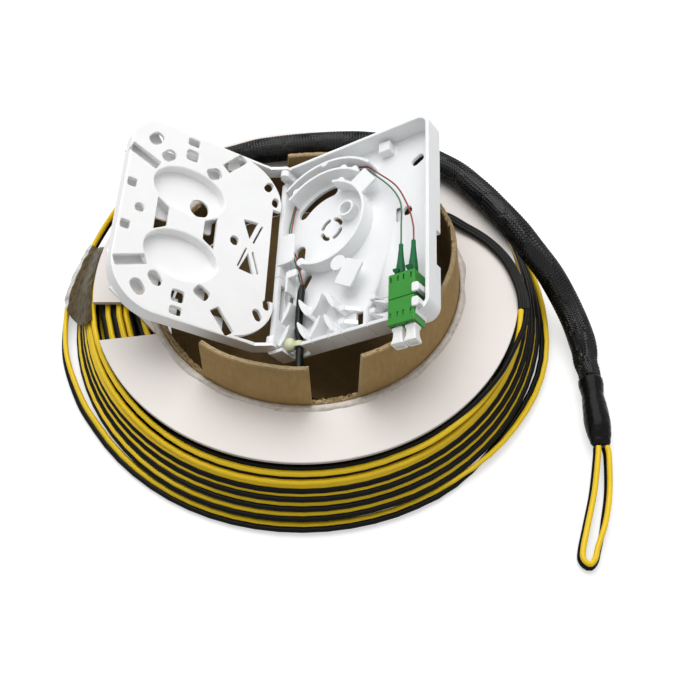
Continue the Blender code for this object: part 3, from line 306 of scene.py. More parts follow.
def lofted(sections):
    """Solid through closed sections that have the same number of points."""
    mesh = bmesh.new()
    rings = [[mesh.verts.new(point) for point in section] for section in sections]
    count = len(rings[0])
    for near, far in zip(rings, rings[1:]):
        for i in range(count):
            k = (i + 1) % count
            mesh.faces.new((near[i], near[k], far[k], far[i]))
    mesh.faces.new(rings[0])
    mesh.faces.new(rings[-1])
    return closed(mesh)


def slices(rows, outline):
    """Solid along the ports: each row is a place on the line and the sizes of its outline there."""
    return lofted([[(a, row[0], b) for a, b in outline(*row[1:])] for row in rows])


# Where the middle point of a rounded edge lies, as a share of its radius
ROUND_MIDDLE = 0.293


def prism(outline, low, high, along="Z", top=0.0, foot=0.0):
    """Solid between two planes, with rounded edges at its top and foot; below zero the edge flares out."""
    levels = []
    for edge, end, inward in ((foot, low, 1.0), (top, high, -1.0)):
        ring = [(end, 0.0)]
        if edge:
            size = inward * abs(edge)
            ring = [(end, edge), (end + size * ROUND_MIDDLE, edge * ROUND_MIDDLE), (end + size, 0.0)]
        levels += ring if inward > 0 else ring[::-1]
    sections = []
    for level, inset in levels:
        shape = drawn_in(outline, inset) if inset else outline
        sections.append([(a, b, level) if along == "Z" else (a, level, b) for a, b in shape])
    return lofted(sections)


def box(x0, x1, y0, y1, z0, z1, top=0.0):
    return prism([(x0, y0), (x1, y0), (x1, y1), (x0, y1)], z0, z1, "Z", top)


# Points that lie closer than this become one after a cut
WELD = 0.000004


def combine(body, tools, operation, place=None):
    """Fuse solids to a body or cut them from it, one after another."""
    holder = bpy.data.objects.new("body", body)
    bpy.context.collection.objects.link(holder)
    helpers = []
    for tool in tools:
        helper = bpy.data.objects.new("tool", tool)
        bpy.context.collection.objects.link(helper)
        if place is not None:
            helper.matrix_world = place
        step = holder.modifiers.new("Step", 'BOOLEAN')
        step.operation = operation
        step.solver = 'EXACT'
        step.object = helper
        helpers.append(helper)
    bpy.context.view_layer.update()
    result = plain_mesh(holder)
    for thing in helpers:
        bpy.data.objects.remove(thing, do_unlink=True)
    mesh = bmesh.new()
    mesh.from_mesh(result)
    bmesh.ops.remove_doubles(mesh, verts=mesh.verts[:], dist=WELD)
    bmesh.ops.dissolve_degenerate(mesh, dist=WELD, edges=mesh.edges[:])
    mesh.to_mesh(result)
    mesh.free()
    return result


def plain_mesh(holder):
    """The object's evaluated mesh; the object itself goes."""
    bpy.context.view_layer.update()
    graph = bpy.context.evaluated_depsgraph_get()
    result = bpy.data.meshes.new_from_object(holder.evaluated_get(graph))
    bpy.data.objects.remove(holder, do_unlink=True)
    return result


def placed(mesh, matrix):
    mesh.transform(matrix)
    return mesh


def repaint(node, made):
    """Give a CAD node that stays in the scene a finish."""
    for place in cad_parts[node].material_slots:
        place.material = made


def publish(name, mesh, finishes, nodes, body=ROOT, sharp_deg=38.0, flat_faces=False):
    """Put a finished mesh in the scene, on its body and in the place of its CAD nodes."""
    numbers = [face.material_index for face in mesh.polygons]
    mesh.materials.clear()
    for made in finishes:
        mesh.materials.append(made)
    mesh.polygons.foreach_set("material_index", numbers)
    mesh.shade_smooth()
    mesh.set_sharp_from_angle(angle=math.radians(sharp_deg))
    piece = bpy.data.objects.new(name, mesh)
    bpy.context.collection.objects.link(piece)
    if flat_faces:
        steady = piece.modifiers.new("Even normals", 'WEIGHTED_NORMAL')
        steady.keep_sharp = True
        mesh = plain_mesh(piece)
        piece = bpy.data.objects.new(name, mesh)
        bpy.context.collection.objects.link(piece)
    mesh.name = name
    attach(piece, body)
    if nodes:
        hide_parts(*nodes)
    return piece


def cord_frame(points, i, roll_deg):
    """Direction from the black rib to the yellow one, and the direction across that and the line."""
    along = (points[min(len(points) - 1, i + 1)] - points[max(0, i - 1)]).normalized()
    up = (Vector((0, 0, 1)) - along * along.z).normalized()
    roll = math.radians(roll_deg)
    across = up * math.cos(roll) + along.cross(up) * math.sin(roll)
    return across, along.cross(across)


def swept(points, rolls, outline, kinds=None, scales=None):
    """Closed skin along a line, with its run along the line and its place round it as a UV map."""
    mesh = bmesh.new()
    flow = mesh.loops.layers.uv.new("along")
    rings = []
    runs = [0.0]
    for i, point in enumerate(points):
        across, side = cord_frame(points, i, rolls[i] if rolls else 0.0)
        size = scales[i] if scales else 1.0
        rings.append([mesh.verts.new(point + (across * a + side * b) * size) for a, b in outline])
        if i:
            runs.append(runs[-1] + (point - points[i - 1]).length)
    count = len(outline)
    for i in range(len(rings) - 1):
        for k in range(count):
            m = (k + 1) % count
            face = mesh.faces.new((rings[i][k], rings[i][m], rings[i + 1][m], rings[i + 1][k]))
            face.material_index = kinds[k] if kinds else 0
            for loop, (a, b) in zip(face.loops, ((i, k), (i, k + 1), (i + 1, k + 1), (i + 1, k))):
                loop[flow].uv = (runs[a], b / count)
    mesh.faces.new(rings[0])
    mesh.faces.new(rings[-1])
    return closed(mesh)


# Finishes

WHITE = (1.0, 1.0, 1.0, 1.0)


def start_finish(name):
    made = bpy.data.materials.new(name)
    made.use_nodes = True
    return made, made.node_tree, made.node_tree.nodes["Principled BSDF"]


def feed(tree, node, inputs):
    """Give a node's inputs their links and values."""
    for key, value in inputs.items():
        if isinstance(value, bpy.types.NodeSocket):
            tree.links.new(value, node.inputs[key])
        else:
            node.inputs[key].default_value = value


def put(tree, kind, inputs=None, **settings):
    node = tree.nodes.new(kind)
    for key, value in settings.items():
        setattr(node, key, value)
    feed(tree, node, inputs or {})
    return node


def shade(colour_value, factor):
    return (min(1.0, colour_value[0] * factor), min(1.0, colour_value[1] * factor),
            min(1.0, colour_value[2] * factor), 1.0)


def blend_ramp(tree, source, stops):
    """Colour ramp; stops are places and colours."""
    node = put(tree, "ShaderNodeValToRGB", {"Fac": source})
    ramp = node.color_ramp
    while len(ramp.elements) < len(stops):
        ramp.elements.new(0.5)
    for element, (place, value) in zip(ramp.elements, stops):
        element.position = place
        element.color = value
    return node.outputs["Color"]


def object_place(tree):
    return put(tree, "ShaderNodeTexCoord").outputs["Object"]


def clouds(tree, place, scale, detail, rough=0.5, distortion=0.0):
    inputs = {"Vector": place, "Scale": scale, "Detail": detail, "Roughness": rough, "Distortion": distortion}
    return put(tree, "ShaderNodeTexNoise", inputs).outputs["Fac"]


def ranged(tree, value, low, high, start=0.0, end=1.0):
    """The value, brought from its own range to another."""
    inputs = {"Value": value, "From Min": start, "From Max": end, "To Min": low, "To Max": high}
    return put(tree, "ShaderNodeMapRange", inputs).outputs["Result"]


def relief(tree, height, strength, distance):
    inputs = {"Height": height, "Strength": strength, "Distance": distance}
    return put(tree, "ShaderNodeBump", inputs).outputs["Normal"]


def moulded(name, base, rough, mottle=120.0, spread=0.04, grain=2600.0, bump=0.05, depth=0.00008, specular=0.5):
    """Moulded plastic or rubber: faint uneven colour and gloss, with a fine eroded grain."""
    made, tree, shader = start_finish(name)
    place = object_place(tree)
    cloud = clouds(tree, place, mottle, 4.0, 0.6)
    tints = ((0.30, shade(base, 1.0 - spread)), (0.70, shade(base, 1.0 + spread)))
    feed(tree, shader, {
        "Base Color": blend_ramp(tree, cloud, tints),
        "Roughness": ranged(tree, cloud, rough - 0.05, rough + 0.06, 0.3, 0.7),
        "Normal": relief(tree, clouds(tree, place, grain, 3.0), bump, depth),
        "Specular IOR Level": specular})
    return made


def jacket(name, base, rough, specular):
    """Cable jacket: drawn along its length, with scuffs and a faint uneven colour."""
    made, tree, shader = start_finish(name)
    flow = put(tree, "ShaderNodeUVMap", uv_map="along").outputs["UV"]
    drawn = put(tree, "ShaderNodeMapping", {"Vector": flow, "Scale": (60.0, 22.0, 1.0)}).outputs["Vector"]
    streak = clouds(tree, drawn, 1.0, 5.0, 0.65)
    scuff = clouds(tree, object_place(tree), 420.0, 6.0, 0.7)
    tints = ((0.25, shade(base, 0.84)), (0.55, shade(base, 1.0)), (0.80, shade(base, 1.10)))
    feed(tree, shader, {
        "Base Color": blend_ramp(tree, streak, tints),
        "Roughness": ranged(tree, scuff, rough - 0.06, rough + 0.16, 0.35, 0.70),
        "Normal": relief(tree, streak, 0.12, 0.00012),
        "Specular IOR Level": specular})
    return made


def board(name, base, stain, rough, fibre, bump, grain):
    """Paper board: matt, with stained patches and short fibres."""
    made, tree, shader = start_finish(name)
    place = object_place(tree)
    patch = clouds(tree, place, 38.0, 6.0, 0.6)
    upright = {"Vector": place, "Scale": (fibre, fibre, fibre * 0.3)}
    hair = clouds(tree, put(tree, "ShaderNodeMapping", upright).outputs["Vector"], 1.0, 6.0, 0.7)
    wide = blend_ramp(tree, patch, ((0.30, shade(stain, 1.0)), (0.62, shade(base, 1.0))))
    thin = blend_ramp(tree, hair, ((0.30, (0.70, 0.67, 0.62, 1.0)), (0.62, WHITE)))
    both = put(tree, "ShaderNodeMix", {0: grain, 6: wide, 7: thin}, data_type='RGBA', blend_type='MULTIPLY')
    feed(tree, shader, {
        "Base Color": both.outputs[2],
        "Roughness": ranged(tree, patch, rough - 0.08, rough + 0.08),
        "Normal": relief(tree, hair, bump, 0.00022),
        "Specular IOR Level": 0.25})
    return made


def yarn(name, base):
    """Braid yarn: smooth filaments with a sheen that varies a little along the sleeve."""
    made, tree, shader = start_finish(name)
    place = object_place(tree)
    wear = clouds(tree, place, 130.0, 3.0, 0.6)
    feed(tree, shader, {
        "Base Color": blend_ramp(tree, wear, ((0.35, shade(base, 0.9)), (0.70, shade(base, 1.2)))),
        "Roughness": ranged(tree, wear, 0.27, 0.31, 0.35, 0.65),
        "Normal": relief(tree, clouds(tree, place, 2400.0, 2.0), 0.15, 0.00006),
        "Specular IOR Level": 0.30})
    return made


def film(name, base, solid):
    """Packing tape with creases, a little see-through; darker in the hollows of the creases and lighter on their
    crests, as painted shade and painted highlight.
    """
    made, tree, shader = start_finish(name)
    crease_and_shade = clouds(tree, object_place(tree), 160.0, 5.0, 0.7, 1.2)
    # The colour follows the creases' relief: painted shade in the hollows, painted highlight on the crests.
    tints = ((0.36, shade(base, 0.40)), (0.52, shade(base, 1.0)), (0.70, shade(base, 1.5)))
    feed(tree, shader, {
        "Base Color": blend_ramp(tree, crease_and_shade, tints),
        "Roughness": ranged(tree, crease_and_shade, 0.20, 0.50),
        "Normal": relief(tree, crease_and_shade, 0.6, 0.0006),
        "Specular IOR Level": 0.05,
        "Alpha": solid})
    return made


# Places shared by several pieces, in metres

OUTLET = Matrix.LocRotScale(
    Vector((-0.0108, -0.0434, 0.0190)),
    Euler((math.radians(7.0), math.radians(-33.6), math.radians(-2.4)), 'YXZ'), None)
HINGE_U = 0.003
HINGE_N = 0.0125
TRAY = OUTLET @ Matrix.Translation((HINGE_U, 0.0525, HINGE_N)) @ Matrix.Rotation(math.radians(-114.5), 4, 'Y')
BASE_WIDTH = 0.083
BASE_HEIGHT = 0.105
BASE_CORNER = 0.006
SPOOL = (0.0255, 0.0650)
SPOOL_RADIUS = 0.023
MID_ARC = 0.030
OUTER_ARC = 0.036
ARC_WALL = 0.0014
RIB_TOP = 0.0100
ADAPTER_U = 0.0715
ADAPTER_LIFT = 0.0047
ADAPTER_START = -0.005
ADAPTER_END = 0.0194
PORT_N = 0.00935
PORTS = (0.068375, 0.074625)
BOOT_START = 0.0209
BOOT_END = 0.0372
INLET_N = 0.0050
GAP = 0.0003

# The tray in its own frame, which starts at the hinge: floor, rim and the two oval recesses.
TRAY_BASE = 0.0020
TRAY_BACK = 0.0090
PLATE_TOP = 0.0038
TRAY_FAR = 0.0808 - HINGE_U
TRAY_RIM = 0.0016
RECESS_U = 0.0497
RECESS_LONG = 0.0178
RECESS_WIDE = 0.0123
RECESS_SPREAD = 0.0176

# The cable leaves the outlet, rounds the inside of the core and crosses the flange.
EDGE = 0.100
CORE = 0.072
SLEEVE_END_DEG = -12.0
COIL_TOP = 0.0236
COIL_FOOT = 0.0021
COIL_START = 0.1004
COIL_LAST = 0.1160
COIL_START_DEG = -70.0
SAG_DEG = 186.0
TAIL_LOW = 0.0026
FLAT = 0.0320
OVER = 0.0368
LEAD_ROUTE = [
    OUTLET @ Vector((0.0139, -0.0091, INLET_N)), OUTLET @ Vector((0.0141, -0.0125, INLET_N)),
    polar(0.0630, -91, 0.0235), polar(0.0638, -78, 0.0130), polar(0.0638, -58, 0.0085),
    polar(0.0638, -38, 0.0080), polar(0.0638, -18, 0.0105), polar(0.0638, 2, 0.0165), polar(0.0638, 20, 0.0255),
    polar(0.0670, 33, 0.0352),
    polar(0.0762, 27.5, FLAT + 0.0016), polar(0.0821, 21, FLAT + 0.0003), polar(0.0870, 16, FLAT),
    polar(0.0911, 11.2, FLAT), polar(0.0946, 6.4, FLAT), polar(0.0970, 2.2, FLAT), polar(0.0992, -2.6, FLAT),
    polar(0.1012, -7.5, FLAT), polar(0.1026, -13, FLAT - 0.0010), polar(0.1030, -18.5, FLAT - 0.0028),
    polar(0.1026, -25, FLAT - 0.0040), polar(0.1023, -33, FLAT - 0.0050), polar(0.1017, -44, COIL_TOP + 0.0021),
    polar(0.1010, -58, COIL_TOP + 0.0008), polar(COIL_START, COIL_START_DEG, COIL_TOP)]
# Radius, height and roll that each outer turn keeps until it steps to the next.
# The first two turns lie the other way up.
OUTER_TURNS = ((COIL_START, COIL_TOP, 250.0), (0.1026, 0.0198, 250.0), (0.1050, 0.0166, 48.0),
               (0.1072, 0.0134, 64.0), (0.1097, 0.0099, 66.0), (0.1126, 0.0062, 62.0),
               (COIL_LAST, COIL_FOOT, 95.0))
LAST_TURN = len(OUTER_TURNS) - 1
LAST_PART_DEG = 75.0
POINTS_A_TURN = 72
# Parts of a turn in which it steps to the next one and takes on its roll
STEP_PART = (0.70, 0.98)
ROLL_PART = (0.42, 0.66)
HIDDEN_POINTS_A_TURN = 46
TAIL_ROUTE = [
    polar(COIL_LAST + 0.0010, -154, COIL_FOOT + 0.0001), polar(COIL_LAST + 0.0026, -167, TAIL_LOW - 0.0001),
    polar(COIL_LAST + 0.0032, -180, TAIL_LOW), polar(COIL_LAST + 0.0032, 170, TAIL_LOW),
    polar(COIL_LAST + 0.0032, 161, TAIL_LOW + 0.0006), polar(EDGE + 0.0168, 154, TAIL_LOW + 0.0075),
    polar(EDGE + 0.0125, 148, TAIL_LOW + 0.0165), polar(EDGE + 0.0075, 142, TAIL_LOW + 0.0255),
    polar(EDGE + 0.0012, 136, TAIL_LOW + 0.0315), polar(EDGE - 0.0055, 130.5, OVER),
    polar(EDGE - 0.0105, 126, OVER), polar(EDGE - 0.0132, 122.4, OVER)]
SLEEVE_LOW = 0.0073
SLEEVE_ROUTE = [
    polar(EDGE - 0.0135, 122, OVER), polar(EDGE - 0.0165, 115, OVER), polar(EDGE - 0.0186, 94, OVER),
    polar(EDGE - 0.0126, 72.6, OVER), polar(EDGE - 0.0078, 57, OVER), polar(EDGE - 0.0040, 41.7, OVER),
    polar(EDGE - 0.0026, 31.3, OVER), polar(EDGE - 0.0004, 21.7, OVER),
    polar(EDGE + 0.0034, 13.2, OVER - 0.0004), polar(EDGE + 0.0088, 7.2, OVER - 0.0040),
    polar(EDGE + 0.0156, 3.0, OVER - 0.0100), polar(EDGE + 0.0214, -0.3, OVER - 0.0168),
    polar(EDGE + 0.0266, -3.7, SLEEVE_LOW + 0.0068), polar(EDGE + 0.0310, -7.4, SLEEVE_LOW + 0.0027),
    polar(EDGE + 0.0344, -11.3, SLEEVE_LOW + 0.0004), polar(EDGE + 0.0357, -14.4, SLEEVE_LOW)]
SLEEVE_ROUTE.append(SLEEVE_ROUTE[-1] + Vector((0.0008, -0.0050, 0.0)))
SLEEVE_ROUTE.append(SLEEVE_ROUTE[-1] + Vector((0.0, -0.0040, 0.0)))
SHRINK_START = SLEEVE_ROUTE[-1] + Vector((0.0, -0.0006, 0.0))
SHRINK_LENGTH = 0.035
LOOP_FOOT = SHRINK_START + Vector((0.0, -SHRINK_LENGTH - 0.0006, -0.0010))
LOOP_REACH = 0.055
LOOP_LOW = 0.0031


def loop_route():
    """The pulling loop, out from the heat-shrink and back."""
    f = LOOP_FOOT
    reach = LOOP_REACH
    # Places of the part that lies on the floor: across, and the share of the reach.
    flat = [(-0.0062, 0.38), (-0.0112, 0.66), (-0.0148, 0.86), (-0.0154, 0.95), (-0.0126, 1.0),
            (-0.0098, 0.95), (-0.0080, 0.86), (-0.0038, 0.66), (0.0004, 0.38)]
    route = [f + Vector((-0.0019, 0.0, 0.0)), f + Vector((-0.0028, -0.10 * reach, -0.0008))]
    route += [Vector((f.x + x, f.y - part * reach, LOOP_LOW)) for x, part in flat]
    return route + [f + Vector((0.0021, -0.10 * reach, -0.0008)), f + Vector((0.0019, 0.0, 0.0))]


def angle_of(point):
    return math.degrees(math.atan2(point.y, point.x))


def lead_line():
    """Points of the lead, the roll at each, and the point at which it leaves its black sleeve."""
    points = smooth(LEAD_ROUTE, 0.0026)
    rolls = []
    bare = len(points)
    for i, point in enumerate(points):
        angle = angle_of(point)
        if math.hypot(point.x, point.y) <= CORE:
            rolls.append(180.0 - 90.0 * ease(angle, 6.0, 30.0))
        else:
            rolls.append(90.0 + 90.0 * ease(-angle, 9.0, 24.0) + 70.0 * ease(-angle, 30.0, 60.0))
            if angle < SLEEVE_END_DEG:
                bare = min(bare, i)
    return points, rolls, bare


def settle(radius, angle_deg):
    """How far the heap of turns beyond the flange gives way, as it does on the left."""
    swing = math.cos(math.radians(angle_deg - SAG_DEG))
    return -0.0017 * ease(radius, 0.1010, 0.1135) * ease(swing, 0.55, 1.0)


def wave(angle_deg):
    return math.sin(math.radians(angle_deg))


def coil_line():
    """The outer turns and their rolls; they step outwards and down on the right and turn over at the back."""
    points = []
    rolls = []
    total = LAST_TURN + LAST_PART_DEG / 360.0
    count = round(total * POINTS_A_TURN)
    for i in range(count + 1):
        turn = total * i / count
        k = int(turn)
        near = OUTER_TURNS[k]
        far = OUTER_TURNS[min(k + 1, LAST_TURN)]
        step = ease(turn - k, *STEP_PART)
        radius = near[0] + (far[0] - near[0]) * step
        height = near[1] + (far[1] - near[1]) * step
        angle = COIL_START_DEG - 360.0 * turn
        calm = ease(turn, 0.0, 0.2) * (1.0 - ease(turn, total - 0.25, total))
        radius += calm * settle(radius, angle)
        radius += calm * 0.00016 * wave(3 * angle + 90 * k) + calm * 0.0003 * wave(2 * angle)
        height += calm * 0.00014 * wave(4 * angle + 140 * k)
        left = ease(math.cos(math.radians(angle - SAG_DEG)), 0.3, 0.9)
        over = ease(turn - k, *ROLL_PART)
        roll = 0.0
        for part, ending in ((1.0 - over, near), (over, far)):
            roll += part * (ending[2] + left * calm * (85.0 if ending[2] > 180.0 else -34.0))
        roll -= 40.0 * ease(turn, LAST_TURN, total)
        if k == LAST_TURN - 1:
            # This turn stands off the heap at the left and lies on its other side at the right.
            bulge = ((angle + 180.0) % 360.0 - 163.0) / 15.0
            radius += 0.0020 * math.exp(-bulge * bulge)
            roll -= 75.0 * math.exp(-bulge * bulge * 0.5)
            turned = ease(math.cos(math.radians(angle + 5.0)), 0.45, 0.85)
            roll -= 130.0 * turned
            height += 0.0010 * turned
        points.append(polar(radius, angle, height))
        rolls.append(roll + calm * 5.0 * wave(1.7 * angle + 60 * k))
    return points, rolls


def winding_line(pitch, layer):
    """The hidden turns and their rolls, laid in upright layers between the flanges and then beyond them."""
    # Radius, lowest and highest place of each layer, and the roll of its cable.
    layers = [(0.0747 + layer * k, 0.0031, 0.0260) for k in range(5)]
    layers += [(0.1002, 0.0031, 0.0172), (0.1053, 0.0014, 0.0104), (0.1098, 0.0014, 0.0040)]
    flips = (66.0, 66.0, 296.0, 66.0, 66.0, 90.0, 90.0, 270.0)
    points = []
    rolls = []
    angle = 0.0
    for k, (radius, low, high) in enumerate(layers):
        ends = (low, high) if k % 2 == 0 else (high, low)
        turns = max(1.0, (high - low) / pitch)
        count = round(turns * HIDDEN_POINTS_A_TURN)
        for i in range(count):
            points.append((radius, angle - 360.0 * turns * i / count,
                           ends[0] + (ends[1] - ends[0]) * i / count))
            rolls.append(flips[k] + 9.0 * math.sin(i * 0.11 + k))
        angle -= 360.0 * turns
        if k + 1 < len(layers):
            following = layers[k + 1]
            height = following[2] if k % 2 == 0 else following[1]
            half = HIDDEN_POINTS_A_TURN // 2
            for i in range(half):
                part = ease(i / half, 0.0, 1.0)
                points.append((radius + (following[0] - radius) * part, angle - 180.0 * i / half,
                               ends[1] + (height - ends[1]) * part))
                rolls.append(flips[k] + (flips[k + 1] - flips[k]) * part)
            angle -= 180.0
    return [polar(r + settle(r, a), a, z) for r, a, z in points], rolls


def twin_outline(rib, spacing, step):
    """Section of the twin cable, and which of its sides are black."""
    half = spacing / 2
    radius = rib / 2
    waist = radius * 0.40
    count = 280 // step
    points = [(0.0, -waist)]
    points += arc(half, 0.0, radius, -140, 140, count)
    points.append((0.0, waist))
    points += arc(-half, 0.0, radius, 40, 320, count)
    side = count + 2
    return points, [0] * side + [1] * side


# Operators

FLOOR_HALF = 3.0
FLOOR_LEVEL = -0.0002
EYE = (0.0158, -0.3028, 0.3943)
SENSOR_WIDTH = 36.0
LAMPS_AIM = (0.0, 0.0, 0.03)
# Name, place, size and share of the key's power
LAMPS = (("key", (-0.08, 0.42, 0.98), 1.1, 1.0), ("fill", (0.75, -0.55, 0.65), 0.6, 0.06))


class OUTLET_OT_stage(bpy.types.Operator):
    """Set up the floor, the lamps and the camera"""
    bl_idname = "outlet.stage"
    bl_label = "Stage"

    def execute(self, context):
        look = context.scene.stage_look
        self.lay_floor(context, look)
        self.light_sky(context, look)
        for name, place, size, share in LAMPS:
            lamp = bpy.data.lights.new(name, 'AREA')
            lamp.size = size
            lamp.energy = look.key * share
            holder = bpy.data.objects.new(name, lamp)
            holder.location = place
            holder.rotation_euler = (Vector(LAMPS_AIM) - Vector(place)).to_track_quat('-Z', 'Y').to_euler()
            context.collection.objects.link(holder)

        lens = bpy.data.cameras.new("view")
        lens.lens = look.lens
        lens.sensor_width = SENSOR_WIDTH
        lens.clip_start = 0.01
        eye = bpy.data.objects.new("view", lens)
        eye.location = EYE
        eye.rotation_euler = (math.radians(90.0) - look.down, 0.0, 0.0)
        context.collection.objects.link(eye)
        context.scene.camera = eye
        context.scene.view_settings.view_transform = 'Standard'
        return {'FINISHED'}

    def lay_floor(self, context, look):
        mesh = bmesh.new()
        ways = ((-1, -1), (1, -1), (1, 1), (-1, 1))
        mesh.faces.new([mesh.verts.new((x * FLOOR_HALF, y * FLOOR_HALF, FLOOR_LEVEL)) for x, y in ways])
        floor = bpy.data.objects.new("floor", closed(mesh))
        context.collection.objects.link(floor)
        made, tree, shader = start_finish("floor_paper")
        tints = ((0.0, shade(look.floor, 0.995)), (1.0, shade(look.floor, 1.005)))
        feed(tree, shader, {
            "Base Color": blend_ramp(tree, clouds(tree, object_place(tree), 3.0, 2.0), tints),
            "Roughness": 0.9,
            "Specular IOR Level": 0.0,
            "Emission Color": WHITE,
            "Emission Strength": self.seen(tree, look.glow)})
        floor.data.materials.append(made)

    def light_sky(self, context, look):
        world = bpy.data.worlds.new("studio")
        context.scene.world = world
        world.use_nodes = True
        tree = world.node_tree
        back = tree.nodes["Background"]
        feed(tree, back, {"Color": WHITE, "Strength": look.sky})
        seen = put(tree, "ShaderNodeBackground", {"Color": WHITE, "Strength": 1.0})
        both = put(tree, "ShaderNodeMixShader",
                   {0: self.seen(tree, 1.0), 1: back.outputs[0], 2: seen.outputs[0]})
        tree.links.new(both.outputs[0], tree.nodes["World Output"].inputs["Surface"])

    def seen(self, tree, amount):
        """The amount for rays that show the stage to the eye, and nothing for rays that light the piece."""
        rays = put(tree, "ShaderNodeLightPath")
        direct = put(tree, "ShaderNodeMath",
                     {0: rays.outputs["Is Camera Ray"], 1: rays.outputs["Is Glossy Ray"]}, operation='MAXIMUM')
        shown = put(tree, "ShaderNodeMath", {0: direct.outputs[0], 1: rays.outputs["Is Transmission Ray"]},
                    operation='MAXIMUM')
        return put(tree, "ShaderNodeMath", {0: shown.outputs[0], 1: amount}, operation='MULTIPLY').outputs[0]


class OUTLET_OT_cable(bpy.types.Operator):
    """Wind the twin cable, lay its lead and its tail, and make the pulling eye"""
    bl_idname = "outlet.cable"
    bl_label = "Twin cable"

    def execute(self, context):
        look = context.scene.cable_look
        finishes = [jacket("jacket_yellow", look.yellow, 0.38, 0.32),
                    jacket("jacket_black", look.black, 0.34, 0.09)]

        # The lead's flat sleeve shows its two ribs as ridges.
        points, rolls, bare = lead_line()
        sleeve = points[:bare]
        half = 0.0027
        columns = 22
        upper = []
        for i in range(1, columns):
            x = half - 2 * half * i / columns
            ridge = 0.00072 + 0.00058 * abs(math.cos(math.pi * x / 0.00175)) ** 1.3
            upper.append((x, ridge * math.sqrt(1.0 - (abs(x) / half) ** 6)))
        outline = [(half, 0.0)] + upper + [(-half, 0.0)] + [(x, -y) for x, y in upper[::-1]]
        mesh = swept(sleeve, rolls[:bare], outline)
        made = moulded("lead_sleeve_black", look.black, 0.42, 500.0, 0.3, 1500.0, 0.10, 0.00008, 0.2)
        piece = publish("lead_sleeve_flat", mesh, [made], ["lead_sleeve"], sharp_deg=60.0)

        coil, coil_rolls = coil_line()
        tail = smooth([coil[-2], coil[-1]] + TAIL_ROUTE, 0.0030)
        tail = tail[min(range(len(tail)), key=lambda i: (tail[i] - coil[-1]).length):]
        start = points[bare - 1].lerp(points[bare], 0.15)
        line = [start] + points[bare:-1] + coil + tail[1:]
        turns = [rolls[bare - 1]] + rolls[bare:-1]
        turns += coil_rolls + [55.0 * (1.0 - ease(i, 0, 34)) for i in range(1, len(tail))]
        outline, kinds = twin_outline(look.rib, look.spacing, 35)
        mesh = swept(line, turns, outline, kinds)
        nodes = ["cable_lead_yellow", "cable_lead_black", "cable_coil_yellow", "cable_coil_black",
                 "cable_tail_yellow", "cable_tail_black"]
        piece = publish("cable_outer_turns", mesh, finishes, nodes, sharp_deg=70.0)

        line, turns = winding_line(look.pitch, look.layer)
        outline, kinds = twin_outline(look.rib, look.spacing, 56)
        mesh = swept(line, turns, outline, kinds)
        piece = publish("cable_inner_turns", mesh, finishes, ["coil_inner_turns"], sharp_deg=80.0)

        line = smooth(loop_route(), 0.0012)
        outline, kinds = twin_outline(look.rib, look.spacing, 28)
        twist = [-17.0 + 36.0 * ease(i / len(line), 0.56, 0.72) for i in range(len(line))]
        mesh = swept(line, twist, outline, kinds)
        piece = publish("pulling_eye", mesh, finishes, ["pull_loop_yellow", "pull_loop_black"],
                        sharp_deg=70.0)
        return {'FINISHED'}


